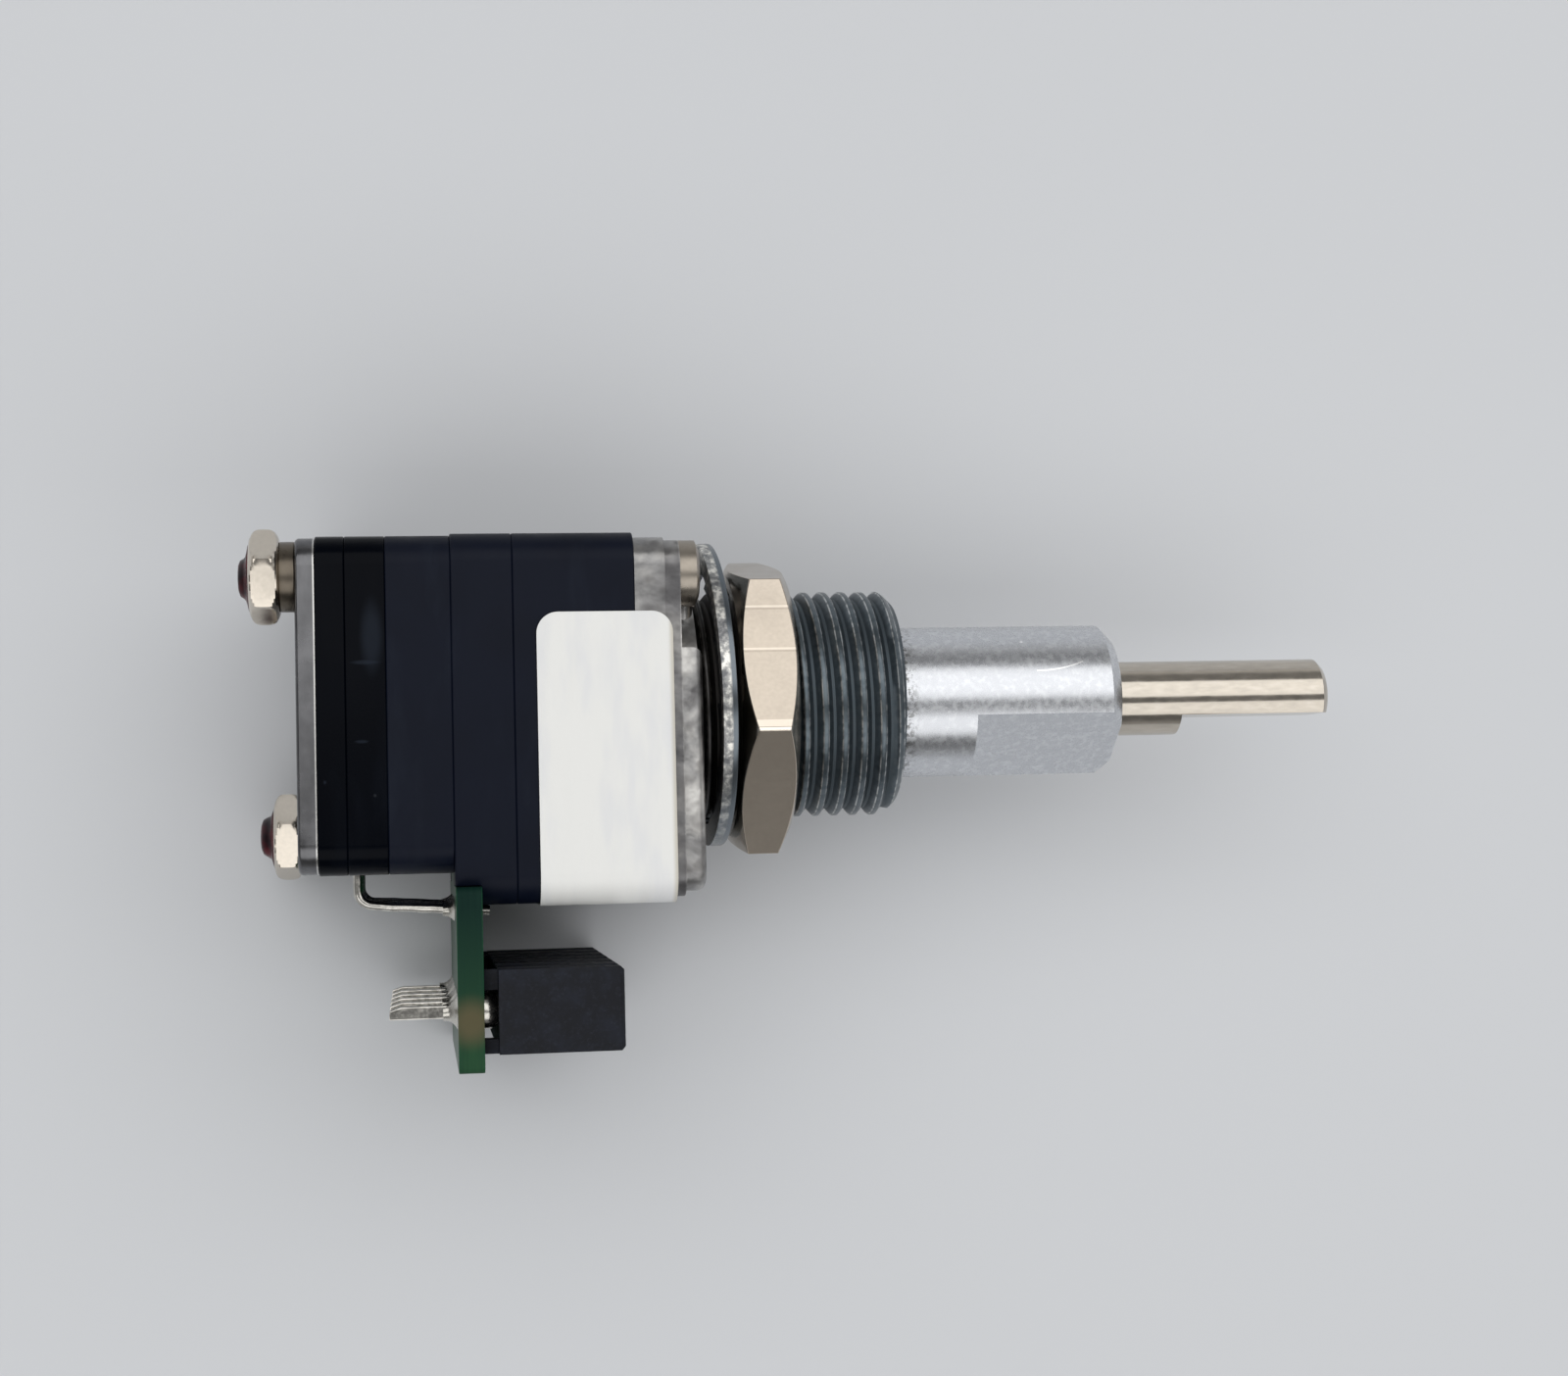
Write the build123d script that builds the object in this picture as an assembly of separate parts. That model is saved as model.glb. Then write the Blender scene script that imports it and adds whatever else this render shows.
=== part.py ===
from build123d import *
import os
from math import atan2, copysign, cos, degrees, pi, radians, sin, sqrt

os.makedirs("parts", exist_ok=True)

# A panel-mounted encoder with two shafts, one turning inside the other.
# Frame: +X runs along the shafts toward their tips, +Z is up, and the circuit board
# hangs on the -Y side. The origin is on the shaft axis, in the face that meets the panel.
# All sizes are in millimetres and all angles in degrees.

# --- mouldings and casting --------------------------------------------------------------------
body_half = 6.62               # half the width of the square mouldings
corner_radius = 1.2            # the four long edges of the body
chin_depth = 1.28              # how much deeper the front mouldings are on the board side
front_rise = 0.08              # the front mouldings stand this proud on top
casting_drop = 0.12            # the casting is this much lower on top
seam_bevel = 0.04              # bevel where one moulding meets the next
cavity_wall = 1.2              # wall left between a rotor cavity and the outside
pad_depth = 0.84               # raised pad that meets the panel
pad_inset = 0.32               # pad edge, inside the flange edge
pad_edge_radius = 0.4
lip_depth = 0.61               # stepped front edge of the flange
lip_inset = 0.12
flange_depth = 1.83
notch_start = 2.03             # screw-head notches in the pad, from the axis
notch_depth = 3.3
notch_radius = 1.1
front_housing_depth = 4.78
board_housing_depth = 2.40
middle_housing_depth = 2.52
sensor_housing_depth = 1.56
rear_cap_depth = 1.12
rear_plate_thickness = 0.77
plate_inset = 0.06
inner_wall = 0.50              # cross walls inside the mouldings

# --- bushing, nut and washer ------------------------------------------------------------------
thread_radius = 4.725          # over the crests of a 3/8-32 thread
bushing_length = 8.60
bushing_chamfer = 0.45
nut_across_flats = 11.40
nut_thickness = 2.38
nut_stand_off = 1.63           # panel face to the nut, as it sits on the thread
nut_turn = 11.6                # a corner, from straight up toward the board side
nut_chamfer_angle = 27
nut_thread_gap = 0.03
nut_countersink = 0.3
washer_radius = 6.35
washer_thickness = 0.62
washer_stand_off = 0.55        # panel face to the washer, at its middle
washer_lean = 1.7              # it sits a little askew on the thread, about Z
washer_tip = 1.75              # and about Y
washer_shift = 0.46            # and a little off centre
washer_tooth_gap = 0.50        # tooth tips to the thread
washer_band = 0.95             # width of the plain rim
washer_teeth = 12

# --- shafts -----------------------------------------------------------------------------------
outer_radius = 3.175           # quarter inch
inner_radius = 1.5875          # eighth of an inch
running_gap = 0.025            # radial, each shaft in its bearing
press_gap = 0.01               # radial, wheels and discs on their seats
outer_reach = 9.55             # past the bushing
inner_reach = 9.55             # past the outer shaft
outer_flat_length = 6.33
outer_flat_depth = 0.785
outer_flat_turn = 54           # its middle, from straight up toward the board side
outer_tip_chamfer = 0.5
inner_flat_length = 6.55
inner_flat_depth = 0.79
inner_flat_turn = 90
inner_tip_chamfer = 0.25
outer_journal_step = 0.2       # outer shaft steps down inside the bushing, which stops it going in
seat_step = 0.475              # and again to its wheel seat
inner_seat_step = 0.22
journal_step = 0.15
clip_thickness = 0.25
clip_band = 0.9                # clip beyond the shaft
clip_groove_depth = 0.4
end_play = 0.1                 # clip to the wall it bears on

# --- detents and code discs -------------------------------------------------------------------
detent_positions = 24
wheel_gap = 0.9                # wheel to the cavity wall
wheel_thickness = 1.3
hub_band = 0.65                # wheel hub beyond its seat
hub_length = 0.6
wheel_ease = 0.28              # clip or wall to the wheel
scallop_radius = 0.7
scallop_lift = 0.5             # scallop centre beyond the wheel's edge
nub_gap = 0.08                 # spring nub in its scallop
leaf_lift = 0.35               # spring leaf beyond the wheel's edge
leaf_thickness = 0.2
leaf_width = 1.0
leaf_grip = 0.4                # how far its ends go into the housing
slot_gap = 0.04
disc_thickness = 0.25
disc_gap = 0.55                # disc to the cavity wall
window_width = 0.42
window_length = 0.8
window_edge = 0.3              # rim of metal outside the windows

# --- optical sensors and leads ----------------------------------------------------------------
sensor_air_gap = 0.42          # sensor to its code disc
sensor_height = 2.0
front_sensor_depth = 1.9
rear_sensor_depth = 1.3
sensor_margin = 0.65           # sensor inside the board's neck, each side
pocket_gap = 0.15
lead_size = 0.38               # square, as stamped from a lead frame
lead_count = 4
lead_gap = 0.06                # round a lead where it passes through something
lead_drop = 1.23               # rear leads below the body, where they turn
lead_fall = 0.35               # and how much further they run down to the board
lead_bend = 0.5
lead_tip = 0.4                 # past the front of the board

# --- circuit board and connector --------------------------------------------------------------
board_thickness = 1.0
board_half = 7.62
board_shoulder = 0.53          # below the rear mouldings, where the board widens
board_length = 7.10
board_radius = 0.3
neck_margin = 1.4              # board neck to the screw axis
neck_top = 2.9                 # neck to the shaft axis
pin_count = 6
pin_pitch = 2.54
pin_size = 0.5
pin_hole_gap = 0.1
pin_tail = 2.60                # past the back of the board
pin_taper = 0.45
connector_length = 4.84
connector_height = 3.24
connector_edge = 0.15
connector_centre = 2.31        # above the board's lower edge
connector_stand_off = 0.55
foot_width = 0.9
foot_high = 0.80
foot_low = 0.55
foot_set_back = 0.6            # feet inside the ends of the housing
socket_size = 1.12
socket_depth = 4.0
socket_wall_gap = 0.05
contact_bore = 0.7
contact_recess = 0.5
groove_width = 1.0
groove_depth = 0.14
solder_pin_radius = 0.72
solder_pin_height = 0.55
solder_lead_radius = 0.5
solder_lead_height = 0.45
solder_skin = 0.03

# --- stack screws -----------------------------------------------------------------------------
screw_inset = 1.54             # screw axis inside the body's side
screw_radius = 0.76
screw_hole_gap = 0.09
screw_head_radius = 1.33
screw_head_drop = 0.01         # head below the panel face
screw_slot_width = 0.36
screw_slot_depth = 0.4
screw_tail = 2.0               # past the rear plate
stack_nut_flats = 3.46
stack_nut_thickness = 1.15
stack_nut_corner = 1.84        # its corners are turned down to this radius
stack_nut_turn = 11            # a flat, from straight up toward the board side
stack_nut_chamfer_angle = 30
spacer_radius = 1.38
spacer_length = 0.60
stack_washer_radius = 1.45
stack_washer_thickness = 0.32
stack_washer_slit = 0.3
lacquer_radius = 0.86          # over the screw tip
lacquer_skins = [0.20, 0.07]   # past each tip
lacquer_film_radius = 1.42     # and out over the nut's face
lacquer_film = 0.05

# --- label ------------------------------------------------------------------------------------
label_thickness = 0.09
label_glue = 0.015
label_front = -1.20            # along the shaft axis
label_width = 5.36
label_top = 3.47
label_wrap = -3.0              # how far round the board side it goes
label_radius = 0.85

# --- stations along the shaft axis, from the panel face backward ------------------------------
flange_front = -pad_depth
lip_rear = flange_front - lip_depth
casting_rear = flange_front - flange_depth
front_rear = casting_rear - front_housing_depth
board_rear = front_rear - board_housing_depth
middle_rear = board_rear - middle_housing_depth
sensor_rear = middle_rear - sensor_housing_depth
cap_rear = sensor_rear - rear_cap_depth
plate_rear = cap_rear - rear_plate_thickness

outer_tip = bushing_length + outer_reach
inner_tip = outer_tip + inner_reach
outer_shoulder = bushing_length + 0.05
outer_clip_front = casting_rear - end_play
outer_clip_rear = outer_clip_front - clip_thickness
outer_wheel_front = outer_clip_rear - wheel_ease
outer_wheel_rear = outer_wheel_front - wheel_thickness
outer_disc_front = outer_wheel_rear - hub_length
outer_disc_rear = outer_disc_front - disc_thickness
outer_tail = outer_disc_rear - 0.25
front_wall = front_rear + inner_wall
front_sensor_front = outer_disc_rear - sensor_air_gap
front_sensor_rear = front_sensor_front - front_sensor_depth

inner_clip_front = front_rear - end_play
inner_clip_rear = inner_clip_front - clip_thickness
middle_wall = board_rear - inner_wall
inner_wheel_front = middle_wall - wheel_ease
inner_wheel_rear = inner_wheel_front - wheel_thickness
inner_disc_front = inner_wheel_rear - hub_length
inner_disc_rear = inner_disc_front - disc_thickness
rear_sensor_front = inner_disc_rear - sensor_air_gap
rear_sensor_rear = rear_sensor_front - rear_sensor_depth
journal_front = sensor_rear + 0.3
inner_tail = cap_rear + 0.3

board_front = board_rear + board_thickness
lead_plane = sensor_rear + lead_size / 2 + 0.09

# --- sizes that follow from the ones above ----------------------------------------------------
chin = -body_half - chin_depth
front_top = body_half + front_rise
casting_top = body_half - casting_drop
cavity_radius = body_half - cavity_wall
screw_offset = body_half - screw_inset
screw_axes = [(screw_offset, screw_offset), (-screw_offset, -screw_offset)]
screw_hole_radius = screw_radius + screw_hole_gap
outer_journal = outer_radius - outer_journal_step
outer_bore = outer_journal + running_gap
inner_bore = inner_radius + running_gap
outer_seat = outer_radius - seat_step
inner_seat = inner_radius - inner_seat_step
journal_radius = inner_seat - journal_step
wheel_radius = cavity_radius - wheel_gap
disc_radius = cavity_radius - disc_gap
lead_half = lead_size / 2
neck_half = screw_offset - neck_margin
sensor_half = neck_half - sensor_margin
sensor_outer = cavity_radius - 0.12
sensor_inner = sensor_outer - sensor_height
lead_pitch = 2 * (sensor_half - 0.35) / (lead_count - 1)
lead_rows = [(i - (lead_count - 1) / 2) * lead_pitch for i in range(lead_count)]
sensor_lead_height = -(sensor_inner + sensor_outer) / 2
board_top = -body_half - board_shoulder
board_bottom = board_top - board_length
pin_height = board_bottom + connector_centre
pin_rows = [(i - (pin_count - 1) / 2) * pin_pitch for i in range(pin_count)]
lead_turn_height = -body_half - lead_drop
lead_board_height = lead_turn_height - lead_fall
connector_rear = board_front + connector_stand_off
connector_front = connector_rear + connector_length
leaf_inner = wheel_radius + leaf_lift
leaf_half = sqrt(cavity_radius ** 2 - leaf_inner ** 2) + leaf_grip
screw_tip = plate_rear - screw_tail


# --- building blocks --------------------------------------------------------------------------
def along_x(profile, x_low, x_high):
    """Extrude a sketch of (Y, Z) shape between two stations on the shaft axis."""
    return extrude(Plane.YZ.offset(x_low) * profile, amount=x_high - x_low)


def rod(radius, x_low, x_high, y=0.0, z=0.0):
    return along_x(Pos(y, z) * Circle(radius), x_low, x_high)


def block(x_low, x_high, y_low, y_high, z_low, z_high):
    middle = ((x_low + x_high) / 2, (y_low + y_high) / 2, (z_low + z_high) / 2)
    return Pos(*middle) * Box(x_high - x_low, y_high - y_low, z_high - z_low)


def outline(y_low, y_high, half, radius):
    return Pos((y_low + y_high) / 2, 0) * RectangleRounded(y_high - y_low, 2 * half, radius)


def spun(points, y=0.0, z=0.0):
    """Turn a closed (station, radius) outline about the shaft axis, or one parallel to it."""
    face = make_face(Polyline(*points, close=True))
    return Pos(0, y, z) * revolve(face, Axis.X)


def polar_yz(radius, turn):
    """The (Y, Z) point at a turn measured from straight up toward the board side."""
    return (-radius * sin(radians(turn)), radius * cos(radians(turn)))


def end_edges(part, x):
    """The outer edges of the face that closes a part at a station."""
    faces = [f for f in part.faces().filter_by(Axis.X) if abs(f.center().X - x) < 1e-4]
    return max(faces, key=lambda f: f.area).outer_wire().edges()


def moulding(y_low, y_high, x_low, x_high):
    """A body-shaped slab with bevelled ends."""
    slab = along_x(outline(y_low, y_high, body_half, corner_radius), x_low, x_high)
    ends = end_edges(slab, x_low) + end_edges(slab, x_high)
    return chamfer(ends, seam_bevel)


def screw_holes(x_low, x_high):
    return [rod(screw_hole_radius, x_low, x_high, y, z) for y, z in screw_axes]


def hexagon_nut(flats, thickness, bore, chamfer_angle, turn):
    """A hexagon nut about the shaft axis, rear face at the origin, its corners turned off."""
    corner = flats / 2 / cos(radians(30))
    body = along_x(Rot(0, 0, 90 + turn) * RegularPolygon(corner, 6), 0, thickness)
    bite = (corner - 0.48 * flats) * sin(radians(chamfer_angle)) / cos(radians(chamfer_angle))
    cone = spun([(0, 0), (0, 0.48 * flats), (bite, corner), (thickness - bite, corner),
                 (thickness, 0.48 * flats), (thickness, 0)])
    return (body & cone) - rod(bore, -1, thickness + 1)


def retaining_clip(x_low, x_high, shaft_radius):
    """An open ring that snaps into a groove."""
    groove = shaft_radius - clip_groove_depth + press_gap
    ring = rod(shaft_radius + clip_band, x_low, x_high) - rod(groove, x_low - 1, x_high + 1)
    mouth = block(x_low - 1, x_high + 1, 0, 2 * shaft_radius + clip_band, -groove * 0.8, groove * 0.8)
    return ring - mouth


def clip_groove(x_low, x_high, shaft_radius):
    depth = shaft_radius - clip_groove_depth
    return rod(shaft_radius + 1, x_low - 0.02, x_high + 0.02) - rod(depth, x_low - 1, x_high + 1)


def detent_wheel(x_low, x_high, seat):
    """A scalloped wheel with a hub behind it that carries the code disc."""
    wheel = rod(wheel_radius, x_low, x_high)
    for i in range(detent_positions):
        turn = 360 / detent_positions * i
        y, z = polar_yz(wheel_radius + scallop_lift, turn)
        wheel -= rod(scallop_radius, x_low - 1, x_high + 1, y, z)
    wheel += rod(seat + hub_band, x_low - hub_length, x_low)
    return wheel - rod(seat + press_gap, x_low - hub_length - 1, x_high + 1)


def detent_spring(x_middle):
    """A flat leaf held at both ends, with a round nub in the middle that drops in a scallop."""
    x_low, x_high = x_middle - leaf_width / 2, x_middle + leaf_width / 2
    leaf = block(x_low, x_high, leaf_inner, leaf_inner + leaf_thickness, -leaf_half, leaf_half)
    nub = rod(scallop_radius - nub_gap, x_low, x_high, wheel_radius + scallop_lift, 0)
    trim = block(x_low - 1, x_high + 1, leaf_inner + leaf_thickness, body_half, -1, 1)
    return leaf + nub - trim


def spring_slot(x_low, x_high):
    return block(x_low, x_high, leaf_inner - slot_gap, leaf_inner + leaf_thickness + slot_gap,
                 -leaf_half - slot_gap, leaf_half + slot_gap)


def code_disc(x_low, x_high, seat):
    """A thin metal disc with a ring of windows, one to each detent position."""
    disc = rod(disc_radius, x_low, x_high) - rod(seat + press_gap, x_low - 1, x_high + 1)
    outer = disc_radius - window_edge
    window = block(x_low - 1, x_high + 1, outer - window_length, outer,
                   -window_width / 2, window_width / 2)
    for i in range(detent_positions):
        disc -= Rot(360 / detent_positions * i, 0, 0) * window
    return disc


def pocket(x_low, x_high):
    """Room for a sensor in a moulding."""
    return block(x_low, x_high, -sensor_outer - pocket_gap, -sensor_inner + pocket_gap,
                 -sensor_half - pocket_gap, sensor_half + pocket_gap)


def sensor(x_low, x_high):
    """A moulded optical sensor: a square package with two round lenses that face +X."""
    lens_radius = 0.3 * sensor_height
    body = block(x_low, x_high - 0.15, -sensor_outer, -sensor_inner, -sensor_half, sensor_half)
    for side in (-1, 1):
        body += rod(lens_radius, x_high - 0.15, x_high, sensor_lead_height, side * sensor_half / 2)
    return body


def many_sided(radius, x, y, z, facing=1, sides=8):
    """A near-circle at a station, facing +X or -X: small things that repeat keep few faces."""
    plane = Plane(origin=(x, y, z), z_dir=(facing, 0, 0))
    return plane * RegularPolygon(radius, sides, major_radius=False)


def drilled(radius, y, z):
    """A small hole through the board."""
    return extrude(many_sided(radius, board_rear - 1, y, z), amount=board_thickness + 2)


def solder_cone(x_board, reach, radius, top_radius, y, z, core):
    """Solder standing on the board round a pin or a lead; reach is negative behind it."""
    foot = many_sided(radius, x_board, y, z, copysign(1, reach))
    slope = degrees(atan2(radius - top_radius, abs(reach)))
    return extrude(foot, amount=abs(reach), taper=slope) - core


# --- the metal front end ----------------------------------------------------------------------
flange = along_x(outline(chin, casting_top, body_half, corner_radius), casting_rear, lip_rear)
flange += along_x(outline(chin + lip_inset, casting_top - lip_inset, body_half - lip_inset,
                          corner_radius - lip_inset), lip_rear, flange_front)
pad = along_x(outline(chin + pad_inset, casting_top - pad_inset, body_half - pad_inset,
                      corner_radius - pad_inset), flange_front, 0)
notch_size = 2 * body_half
notch = Pos(notch_start + notch_size / 2, notch_depth + notch_size / 2) * RectangleRounded(
    notch_size, notch_size, notch_radius)
pad -= along_x(notch, flange_front - 1, 1)
pad -= Rot(180, 0, 0) * along_x(notch, flange_front - 1, 1)
pad = fillet(end_edges(pad, 0), pad_edge_radius)
bushing = spun([(-pad_depth, 0), (-pad_depth, thread_radius),
                (bushing_length - bushing_chamfer, thread_radius),
                (bushing_length, thread_radius - bushing_chamfer), (bushing_length, 0)])
bore_mouth = spun([(bushing_length - 0.2, 0), (bushing_length - 0.2, outer_bore),
                   (bushing_length + 0.01, outer_bore + 0.2), (bushing_length + 0.01, 0)])
bushing_housing = flange + pad + bushing - bore_mouth - rod(outer_bore, casting_rear - 1, bushing_length + 1)
bushing_housing -= screw_holes(casting_rear - 1, 1)

nut_bore = thread_radius + nut_thread_gap
panel_nut = hexagon_nut(nut_across_flats, nut_thickness, nut_bore, nut_chamfer_angle, nut_turn)
panel_nut -= spun([(-0.01, 0), (-0.01, nut_bore + nut_countersink), (nut_countersink, nut_bore),
                   (nut_thickness - nut_countersink, nut_bore),
                   (nut_thickness + 0.01, nut_bore + nut_countersink), (nut_thickness + 0.01, 0)])
panel_nut = Pos(nut_stand_off, 0, 0) * panel_nut

tooth_tip = thread_radius + washer_tooth_gap
tooth_root = washer_radius - washer_band
lock_washer = rod(washer_radius, 0, washer_thickness) - rod(tooth_tip, -1, washer_thickness + 1)
tooth_gap_sketch = Pos((tooth_tip + tooth_root) / 2, 0) * Rectangle(
    tooth_root - tooth_tip + 0.6, 0.84 * pi * tooth_tip / washer_teeth)
for i in range(washer_teeth):
    cut = along_x(Rot(0, 0, 360 / washer_teeth * i) * tooth_gap_sketch, -1, washer_thickness + 1)
    lock_washer -= cut & rod(tooth_root, -1, washer_thickness + 1)
lock_washer = Rot(0, washer_tip, washer_lean) * lock_washer
lock_washer = Pos(washer_stand_off, washer_shift, 0) * lock_washer

# --- the two shafts ---------------------------------------------------------------------------
outer_shaft = spun([
    (outer_tail, inner_bore), (outer_tail, outer_seat), (outer_wheel_front + 0.1, outer_seat),
    (outer_wheel_front + 0.1, outer_journal), (outer_shoulder, outer_journal),
    (outer_shoulder, outer_radius), (outer_tip - outer_tip_chamfer, outer_radius),
    (outer_tip, outer_radius - outer_tip_chamfer), (outer_tip, inner_bore + 0.1),
    (outer_tip - 0.1, inner_bore)])
outer_shaft -= clip_groove(outer_clip_rear, outer_clip_front, outer_journal)
outer_flat = block(outer_tip - outer_flat_length, outer_tip + 1, -outer_radius, outer_radius,
                   outer_radius - outer_flat_depth, outer_radius + 1)
outer_shaft -= Rot(outer_flat_turn, 0, 0) * outer_flat

inner_shaft = spun([
    (inner_tail, 0), (inner_tail, journal_radius - 0.1), (inner_tail + 0.1, journal_radius),
    (journal_front, journal_radius), (journal_front, inner_seat), (inner_wheel_front + 0.1, inner_seat),
    (inner_wheel_front + 0.1, inner_radius), (inner_tip - inner_tip_chamfer, inner_radius),
    (inner_tip, inner_radius - inner_tip_chamfer), (inner_tip, 0)])
inner_shaft -= clip_groove(inner_clip_rear, inner_clip_front, inner_radius)
inner_flat = block(inner_tip - inner_flat_length, inner_tip + 1, -inner_radius, inner_radius,
                   inner_radius - inner_flat_depth, inner_radius + 1)
inner_shaft -= Rot(inner_flat_turn, 0, 0) * inner_flat

outer_shaft_clip = retaining_clip(outer_clip_rear, outer_clip_front, outer_journal)
inner_shaft_clip = retaining_clip(inner_clip_rear, inner_clip_front, inner_radius)

# --- what the shafts carry, and the springs that click them -----------------------------------
outer_detent_wheel = detent_wheel(outer_wheel_rear, outer_wheel_front, outer_seat)
inner_detent_wheel = detent_wheel(inner_wheel_rear, inner_wheel_front, inner_seat)
outer_code_disc = code_disc(outer_disc_rear, outer_disc_front, outer_seat)
inner_code_disc = code_disc(inner_disc_rear, inner_disc_front, inner_seat)
outer_spring_middle = (outer_wheel_front + outer_wheel_rear) / 2
inner_spring_middle = (inner_wheel_front + inner_wheel_rear) / 2
outer_detent_spring = detent_spring(outer_spring_middle)
inner_detent_spring = detent_spring(inner_spring_middle)

# --- the black mouldings ----------------------------------------------------------------------
shaft_hole = inner_radius + 0.3
spring_stop = leaf_width / 2 + slot_gap

front_housing = moulding(chin, front_top, front_rear, casting_rear)
front_housing -= rod(cavity_radius, front_wall, casting_rear + 1)
front_housing -= rod(shaft_hole, front_rear - 1, front_wall + 1)
front_housing -= pocket(front_rear - 1, front_sensor_front + pocket_gap)
front_housing -= spring_slot(outer_spring_middle - spring_stop, casting_rear + 1)
front_housing -= screw_holes(front_rear - 1, casting_rear + 1)

board_housing = moulding(chin, front_top, board_rear, front_rear)
board_housing -= rod(inner_radius + clip_band + 0.4, inner_clip_rear - 0.3, front_rear + 1)
board_housing -= rod(shaft_hole, board_rear - 1, front_rear + 1)
board_housing -= pocket(board_rear - 1, front_rear + 1)
board_housing -= block(board_rear - 1, board_front, chin - 1, board_top + 0.04, -body_half - 1, body_half + 1)
board_housing -= block(board_rear - 1, board_front, board_top - 1, -neck_top + 0.05,
                       -neck_half - 0.05, neck_half + 0.05)
board_housing -= screw_holes(board_rear - 1, front_rear + 1)

middle_housing = moulding(-body_half, body_half, middle_rear, board_rear)
middle_housing -= rod(cavity_radius, middle_rear - 1, middle_wall)
middle_housing -= rod(shaft_hole, middle_wall - 1, board_rear + 1)
middle_housing -= spring_slot(middle_rear - 1, inner_spring_middle + spring_stop)
middle_housing -= screw_holes(middle_rear - 1, board_rear + 1)

sensor_housing = moulding(-body_half, body_half, sensor_rear, middle_rear)
sensor_housing -= rod(cavity_radius, rear_sensor_front, middle_rear + 1)
sensor_housing -= rod(cavity_radius - 1.3, sensor_rear - 1, middle_rear + 1)
sensor_housing -= pocket(sensor_rear - 1, rear_sensor_front + pocket_gap)
sensor_housing -= screw_holes(sensor_rear - 1, middle_rear + 1)
lead_slot = lead_half + lead_gap
for z in lead_rows:
    sensor_housing -= block(sensor_rear - 1, lead_plane + lead_slot, -body_half - 1, -sensor_inner,
                            z - lead_slot, z + lead_slot)

rear_cap = moulding(-body_half, body_half, cap_rear, sensor_rear)
rear_cap -= rod(journal_radius + running_gap, cap_rear - 1, sensor_rear + 1)
rear_cap -= pocket(rear_sensor_rear - pocket_gap, sensor_rear + 1)
rear_cap -= screw_holes(cap_rear - 1, sensor_rear + 1)

plate_half = body_half - plate_inset
rear_plate = along_x(outline(-plate_half, plate_half, plate_half, corner_radius), plate_rear, cap_rear)
rear_plate = chamfer(end_edges(rear_plate, plate_rear), 0.1)
rear_plate -= screw_holes(plate_rear - 1, cap_rear + 1)

# --- sensors, leads and board -----------------------------------------------------------------
front_sensor = sensor(front_sensor_rear, front_sensor_front)
rear_sensor = sensor(rear_sensor_rear, rear_sensor_front)
front_sensor_leads = [
    block(board_rear + 0.05, front_sensor_rear, sensor_lead_height - lead_half,
          sensor_lead_height + lead_half, z - lead_half, z + lead_half) for z in lead_rows]

rear_sensor_leads = []
for z in lead_rows:
    bend = FilletPolyline((lead_plane, -sensor_outer, z), (lead_plane, lead_turn_height, z),
                          (board_front + lead_tip, lead_board_height, z), radius=lead_bend)
    start = Plane(origin=(lead_plane, -sensor_outer, z), z_dir=(0, -1, 0))
    rear_sensor_leads.append(sweep(start * Rectangle(lead_size, lead_size), path=bend))
lead_slope = (lead_board_height - lead_turn_height) / (board_front + lead_tip - lead_plane)


def lead_height(x):
    return lead_turn_height + lead_slope * (x - lead_plane)


board_outline = Pos((board_top + board_bottom) / 2, 0) * RectangleRounded(
    board_length, 2 * board_half, board_radius)
board_outline += Pos((board_top - neck_top) / 2, 0) * Rectangle(
    -neck_top - board_top + 0.6, 2 * neck_half)
circuit_board = along_x(board_outline, board_rear, board_front)
circuit_board -= block(board_rear - 1, board_front + 1, -neck_top, 0, -body_half, body_half)
lead_hole_radius = lead_size / sqrt(2) + lead_gap
for z in lead_rows:
    circuit_board -= drilled(lead_hole_radius, sensor_lead_height, z)
    circuit_board -= drilled(lead_hole_radius, lead_height((board_rear + board_front) / 2), z)
pin_hole_radius = pin_size / sqrt(2) + pin_hole_gap
for z in pin_rows:
    circuit_board -= drilled(pin_hole_radius, pin_height, z)

# --- connector --------------------------------------------------------------------------------
connector_housing = block(connector_rear, connector_front, pin_height - connector_height / 2,
                          pin_height + connector_height / 2, -board_half, board_half)
connector_housing = chamfer(end_edges(connector_housing, connector_front), connector_edge)
connector_top = pin_height + connector_height / 2
connector_bottom = pin_height - connector_height / 2
for side in (-1, 1):
    outer_z = side * (board_half - foot_set_back)
    inner_z = outer_z - side * foot_width
    z_low, z_high = min(outer_z, inner_z), max(outer_z, inner_z)
    connector_housing += block(board_front, connector_rear, connector_top - foot_high, connector_top,
                               z_low, z_high)
    connector_housing += block(board_front, connector_rear, connector_bottom,
                               connector_bottom + foot_low, z_low, z_high)
for z in pin_rows:
    half = socket_size / 2
    connector_housing -= block(connector_front - socket_depth, connector_front + 1, pin_height - half,
                               pin_height + half, z - half, z + half)
    half = pin_size / 2 + 0.02
    connector_housing -= block(connector_rear - 1, connector_front, pin_height - half,
                               pin_height + half, z - half, z + half)
    connector_housing -= block(connector_rear - 1, connector_front + 1, connector_top - groove_depth,
                               connector_top + 1, z - groove_width / 2, z + groove_width / 2)


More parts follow.
